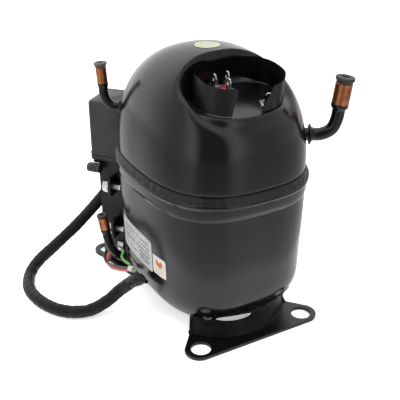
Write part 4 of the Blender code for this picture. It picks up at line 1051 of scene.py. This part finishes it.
def bolt(name, seat):
    """A hexagon bolt with a washer face, a chamfered head and a threaded shank."""
    head = turned([(6.1, 7.0), (5.3, 7.8), (0.0, 8.0), (0.0, 2.6), (6.4, 2.6)], seat, 48)
    hexagon = [(6.25 * math.cos(math.tau * k / 6), 6.25 * math.sin(math.tau * k / 6)) for k in range(6)]
    head = boolean(head, [prism(hexagon, 2.0, 9.0, seat)], "INTERSECT")
    washer = turned([(6.9, 1.3), (6.9, 2.2), (6.4, 2.7), (0.0, 2.7), (0.0, 1.3)], seat, 48)
    thread = [(3.0, 1.5)]
    for k in range(9):
        thread += [(3.0, 1.0 - k), (2.6, 0.6 - k), (2.6, 0.3 - k)]
    shank = turned(thread + [(2.8, -9.4), (2.2, -10.0), (0.0, -10.0), (0.0, 1.5)], seat, 32)
    piece(name + "_hex", boolean(head, [washer, shank], "UNION"), ZINC, (name,), bevel=0.15)


def fittings():
    clamp = [(4.6, 0.0), (4.6, 2.4), (4.2, 2.7), (4.2, 3.4), (4.6, 3.7), (4.6, 6.0), (4.2, 6.3), (4.2, 7.0),
             (4.6, 7.3), (4.6, 11.6), (3.9, 12.8), (3.0, 13.2), (1.6, 13.2), (1.5, 11.4), (0.0, 11.2),
             (0.0, 0.0)]
    seat = turned_to(CORNER @ Vector((-5.0, -6.4, 103.0)), OUT)
    piece("cable_clamp_stud", turned(clamp, seat, 40), GLAND, ("cable_clamp",))
    gland = [(7.4, 0.0), (0.0, 0.0), (0.0, -8.6), (5.2, -8.6), (5.5, -7.6), (5.3, -7.0), (5.9, -5.8),
             (5.7, -5.2), (6.3, -4.0), (6.2, -3.2), (7.0, -2.9), (7.4, -2.4)]
    place = Matrix.Translation(CORNER @ Vector((-6.6, 24.0, 105.1)))
    piece("sleeve_gland_nut", turned(gland, place, 48), GLAND, ("sleeve_gland",))


# Leads ---------------------------------------------------------------------------------------


def sleeve():
    """The vinyl sleeve: uneven, with puckers on the inside of its bends and a pinched end."""
    points = smooth_route(SLEEVE_ROUTE, SLEEVE_STEP)
    last, reach, tail = len(points) - 1, 6, 11
    rings, sides = [], 36
    for i, (point, tangent, side, other) in enumerate(stations(points)):
        bend = points[max(0, i - reach)] + points[min(last, i + reach)] - 2 * point
        inward = bend.normalized() if bend.length > 1e-6 else side
        tight = smoothstep(bend.length / 3.2)
        walked = i * SLEEVE_STEP
        pinch = 1.0 - 0.72 * smoothstep((i + tail - last) / tail)
        ring = []
        for k in range(sides):
            angle = math.tau * k / sides
            way = side * math.cos(angle) + other * math.sin(angle)
            inner = max(0.0, way.dot(inward)) ** 1.6
            pucker = -1.25 * tight * inner * (0.5 + 0.5 * math.sin(walked / 2.1)) ** 2
            swell = 0.28 * noise.noise(Vector((walked * 0.045, way.x * 0.8, way.y * 0.8 + way.z * 0.5)))
            fine = 0.10 * math.sin(walked * 0.9 + 1.3 * noise.noise(point * 0.05))
            ring.append(point + way * (SLEEVE_R - 0.25 + pucker + swell + fine) * pinch)
        rings.append(ring)
    for shrink, back in ((0.86, 0.0), (0.82, -1.0), (0.8, -6.0)):
        rings.append([point + (p - point) * shrink + tangent * back for p in ring])
    obj = piece("harness_sleeve_tube", loft(rings), SLEEVE, ("harness_sleeve",), sharp=60.0)


def to_frame(point):
    return tuple(AXIS + Vector(point) * MM)


def lead(name, route, look, stands_for):
    points = smooth_route(route, 1.0)
    bm = sweep(points, LEAD_R, 20)
    layer = bm.loops.layers.uv.new("print")
    for face in bm.faces:
        for k, loop in enumerate(face.loops):
            loop[layer].uv = (0.5, (loop.vert.index % 20) / 20)
    return piece(name, bm, look, (stands_for,), sharp=60.0), points


def leads():
    splice = turned([(2.5, 0.0), (2.8, 0.8), (2.8, 4.6), (2.4, 5.2), (2.4, 6.0), (2.8, 6.6), (2.8, 10.6),
                     (2.4, 11.4), (1.8, 11.6), (1.6, 10.8), (0.0, 10.8), (0.0, 0.0)],
                    turned_to((-21.8, -68.6, 33.9), (1.0, -0.1, 0.42)), 40)
    joint = piece("lead_splice_cap", splice, NYLON, ("lead_splice",))
    earth, _ = lead("earth_lead_wire", EARTH_ROUTE, EARTH, "earth_lead")
    black, points = lead("black_lead_wire", BLACK_ROUTE, BLACK_LEAD, "black_lead")
    red, points = lead("red_lead_wire", RED_ROUTE, RED, "red_lead")


# Pieces that keep their CAD shape --------------------------------------------------------------


def dress():
    """Gives each CAD node that stays its material."""
    looks = {STEEL: ("crankshaft", "valve_plate", "suction_reed", "discharge_reed", "wrist_pin", "piston",
                     "oil_pickup", "head_screw_1", "head_screw_2", "head_screw_3", "head_screw_4",
                     "suspension_spring_1", "suspension_spring_2", "suspension_spring_3",
                     "suspension_spring_4"), IRON: ("crankcase", "cylinder_head", "connecting_rod"),
             LAMINATION: ("stator_core", "rotor"), WINDING: ("upper_winding", "lower_winding"),
             COPPER: ("discharge_line",), NYLON: ("suction_muffler", "start_relay"),
             GLAND: ("start_capacitor",),}
    for look, names in looks.items():
        for name in names:
            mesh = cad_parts[name].data
            mesh.materials.clear()
            mesh.materials.append(look)


# Studio --------------------------------------------------------------------------------------

CAMERA_AT = Vector((506.7, -298.9, 390.3))
CAMERA_BACK = Vector((0.7755, -0.4436, 0.4492)).normalized()
CAMERA_RIGHT = Vector((0.4965, 0.8680, 0.0)).normalized()


def camera():
    data = bpy.data.cameras.new("camera")
    data.lens = 67.6
    data.sensor_width = 36.0
    data.clip_start = 0.01
    obj = placed("camera", data)
    turn = Matrix((CAMERA_RIGHT, CAMERA_BACK.cross(CAMERA_RIGHT), CAMERA_BACK)).transposed().to_4x4()
    obj.matrix_world = Matrix.Translation(to_frame(CAMERA_AT)) @ turn
    bpy.context.scene.camera = obj


def panel(name, centre, target, size, power):
    """A square soft light that faces a point, in millimetres from the shell's axis. Gloss doesn't show it."""
    data = bpy.data.lights.new(name, "AREA")
    data.size = size * MM
    data.energy = power
    obj = placed(name, data)
    way = Vector(centre) - Vector(target)
    obj.matrix_world = turned_to(to_frame(centre), way, Vector((0, 0, 1)).cross(way))
    obj.visible_glossy = False


def studio():
    world = bpy.data.worlds.new("studio")
    bpy.context.scene.world = world
    world.use_nodes = True
    sky = world.node_tree.nodes["Background"].inputs
    sky["Color"].default_value = (1.0, 1.0, 1.0, 1.0)
    sky["Strength"].default_value = SKY_LEVEL
    bpy.context.scene.view_settings.view_transform = "Standard"

    material, tree, shader = new_look("studio_floor")
    tree.links.new(mixed(tree, spots(tree, 3.0), (0.93, 0.93, 0.93), (0.96, 0.96, 0.96)),
                   shader.inputs["Base Color"])
    shader.inputs["Roughness"].default_value = 0.9
    shader.inputs["Specular IOR Level"].default_value = 0.0
    bm = bmesh.new()
    bmesh.ops.create_grid(bm, x_segments=8, y_segments=8, size=6.0)
    mesh = bpy.data.meshes.new("studio_floor")
    bm.to_mesh(mesh)
    bm.free()
    mesh.materials.append(material)
    floor = placed("studio_floor", mesh)
    floor.location.z = -0.0004

    panel("top_light", (60.0, -40.0, 1100.0), (0.0, 0.0, 100.0), 900.0, 7.0)
    panel("left_light", (-300.0, -900.0, 500.0), (0.0, 0.0, 110.0), 700.0, 5.0)

    tent = bmesh.new()
    bmesh.ops.create_icosphere(tent, subdivisions=4, radius=TENT_R)
    reflector("studio_tent", tent, 0.0, tent_level)
    mat = bmesh.new()
    steps = 96
    rims = [[mat.verts.new((r * math.cos(math.tau * k / steps), r * math.sin(math.tau * k / steps), 0.0))
             for k in range(steps)] for r in (MAT_NEAR, 0.3, 0.5, 0.9, TENT_R)]
    for rim, after in zip(rims, rims[1:]):
        for k in range(steps):
            mat.faces.new((rim[k], after[k], after[(k + 1) % steps], rim[(k + 1) % steps]))
    reflector("studio_mat", mat, 0.0015, mat_level)
    floor_glow()


# How bright the studio is at each bearing from the camera's own, in degrees. It is seen only in the
# object's reflections: a dark room lies behind the camera, between two tall windows.
TENT_R, MAT_NEAR, MAT_FAR = 1.6, 0.17, 0.42
SKY_LEVEL, FLOOR_GLOW = 1.3, 0.42
BEARINGS = (
    (-180, 1.2), (-150, 1.6), (-125, 1.6), (-100, 1.05), (-80, 0.72), (-60, 0.8), (-50, 1.2), (-42, 1.65),
    (-36, 1.5), (-29, 0.5), (-23, 0.16), (16, 0.16), (22, 0.6), (28, 1.5), (38, 1.65), (46, 0.9), (56, 0.55),
    (75, 0.75), (100, 0.9), (125, 1.3), (150, 1.5), (180, 1.2),
)


def bearing_level(tree, parts):
    """The studio's brightness at a place's bearing, halved to fit a colour ramp."""
    bearing = math_node(tree, "ARCTAN2", parts["Y"], parts["X"])
    share = math_node(tree, "ADD", math_node(tree, "DIVIDE", bearing, math.tau), 0.5)
    ramp = node(tree, "ShaderNodeValToRGB", {"Fac": share})
    stops = ramp.color_ramp.elements
    while len(stops) < len(BEARINGS):
        stops.new(0.5)
    for stop, (angle, level) in zip(stops, BEARINGS):
        stop.position = angle / 360.0 + 0.5
        stop.color = (level / 2, level / 2, level / 2, 1.0)
    return times(tree, ramp.outputs["Color"], 2.0)


def tent_level(tree, parts):
    height = ranged(tree, parts["Z"], 0.0, 1.0, TENT_R * 0.84, TENT_R * 0.97)
    side = times(tree, bearing_level(tree, parts), math_node(tree, "SUBTRACT", 1.0, height))
    return math_node(tree, "ADD", side, times(tree, height, SKY_LEVEL))


def mat_level(tree, parts):
    """Bright where the table is lit near the object, and dimmer further out."""
    away = math_node(tree, "SQRT", math_node(tree, "ADD", math_node(tree, "POWER", parts["X"], 2.0),
                                             math_node(tree, "POWER", parts["Y"], 2.0)))
    near = ranged(tree, away, 1.0, 0.0, MAT_NEAR, MAT_FAR)
    far = math_node(tree, "ADD", times(tree, bearing_level(tree, parts), 0.4), 0.3)
    dim = times(tree, far, math_node(tree, "SUBTRACT", 1.0, near))
    return math_node(tree, "ADD", dim, near)


def floor_glow():
    """A clear sheet on the table that adds some light to it for the camera, which lifts its shadows."""
    bm = bmesh.new()
    bmesh.ops.create_grid(bm, x_segments=4, y_segments=4, size=3.0)
    reflector("studio_glow", bm, 0.0001, lambda tree, parts: FLOOR_GLOW, camera_only=True)


def reflector(name, bm, height, level, camera_only=False):
    """A stage surface as bright as level says at each place, seen only in reflections or by the camera."""
    material = bpy.data.materials.new(name)
    material.use_nodes = True
    tree = material.node_tree
    tree.nodes.clear()
    place = node(tree, "ShaderNodeTexCoord").outputs["Object"]
    parts = node(tree, "ShaderNodeSeparateXYZ", {"Vector": place}).outputs
    glow = node(tree, "ShaderNodeEmission", {"Color": (1.0, 1.0, 1.0, 1.0), "Strength": level(tree, parts)})
    surface = glow.outputs["Emission"]
    if camera_only:
        clear = node(tree, "ShaderNodeBsdfTransparent").outputs["BSDF"]
        both = node(tree, "ShaderNodeAddShader")
        tree.links.new(clear, both.inputs[0])
        tree.links.new(surface, both.inputs[1])
        surface = both.outputs["Shader"]
    node(tree, "ShaderNodeOutputMaterial", {"Surface": surface})
    mesh = bpy.data.meshes.new(name)
    bm.to_mesh(mesh)
    bm.free()
    mesh.materials.append(material)
    obj = placed(name, mesh)
    obj.location = (AXIS.x, AXIS.y, height)
    obj.rotation_euler.z = math.atan2(CAMERA_BACK.y, CAMERA_BACK.x)
    obj.visible_camera, obj.visible_glossy = camera_only, not camera_only
    obj.visible_diffuse = obj.visible_shadow = obj.visible_transmission = False


camera()
sleeve()
leads()
lower_shell()
upper_shell()
girth_weld()
foot("front_foot", 1, FRONT_HOLE_X)
foot("rear_foot", -1, REAR_HOLE_X)
fence_wall()
terminal()
earth_tab()
tubes()
label("rating_label_print", -41.0, 19.5, 51.0, 80.5, LABEL, "rating_label")
label("small_label_print", 21.0, 39.5, 53.2, 71.2, STICKER, "small_label")
top_sticker()
start_box()
bracket()
fittings()
dress()
studio()
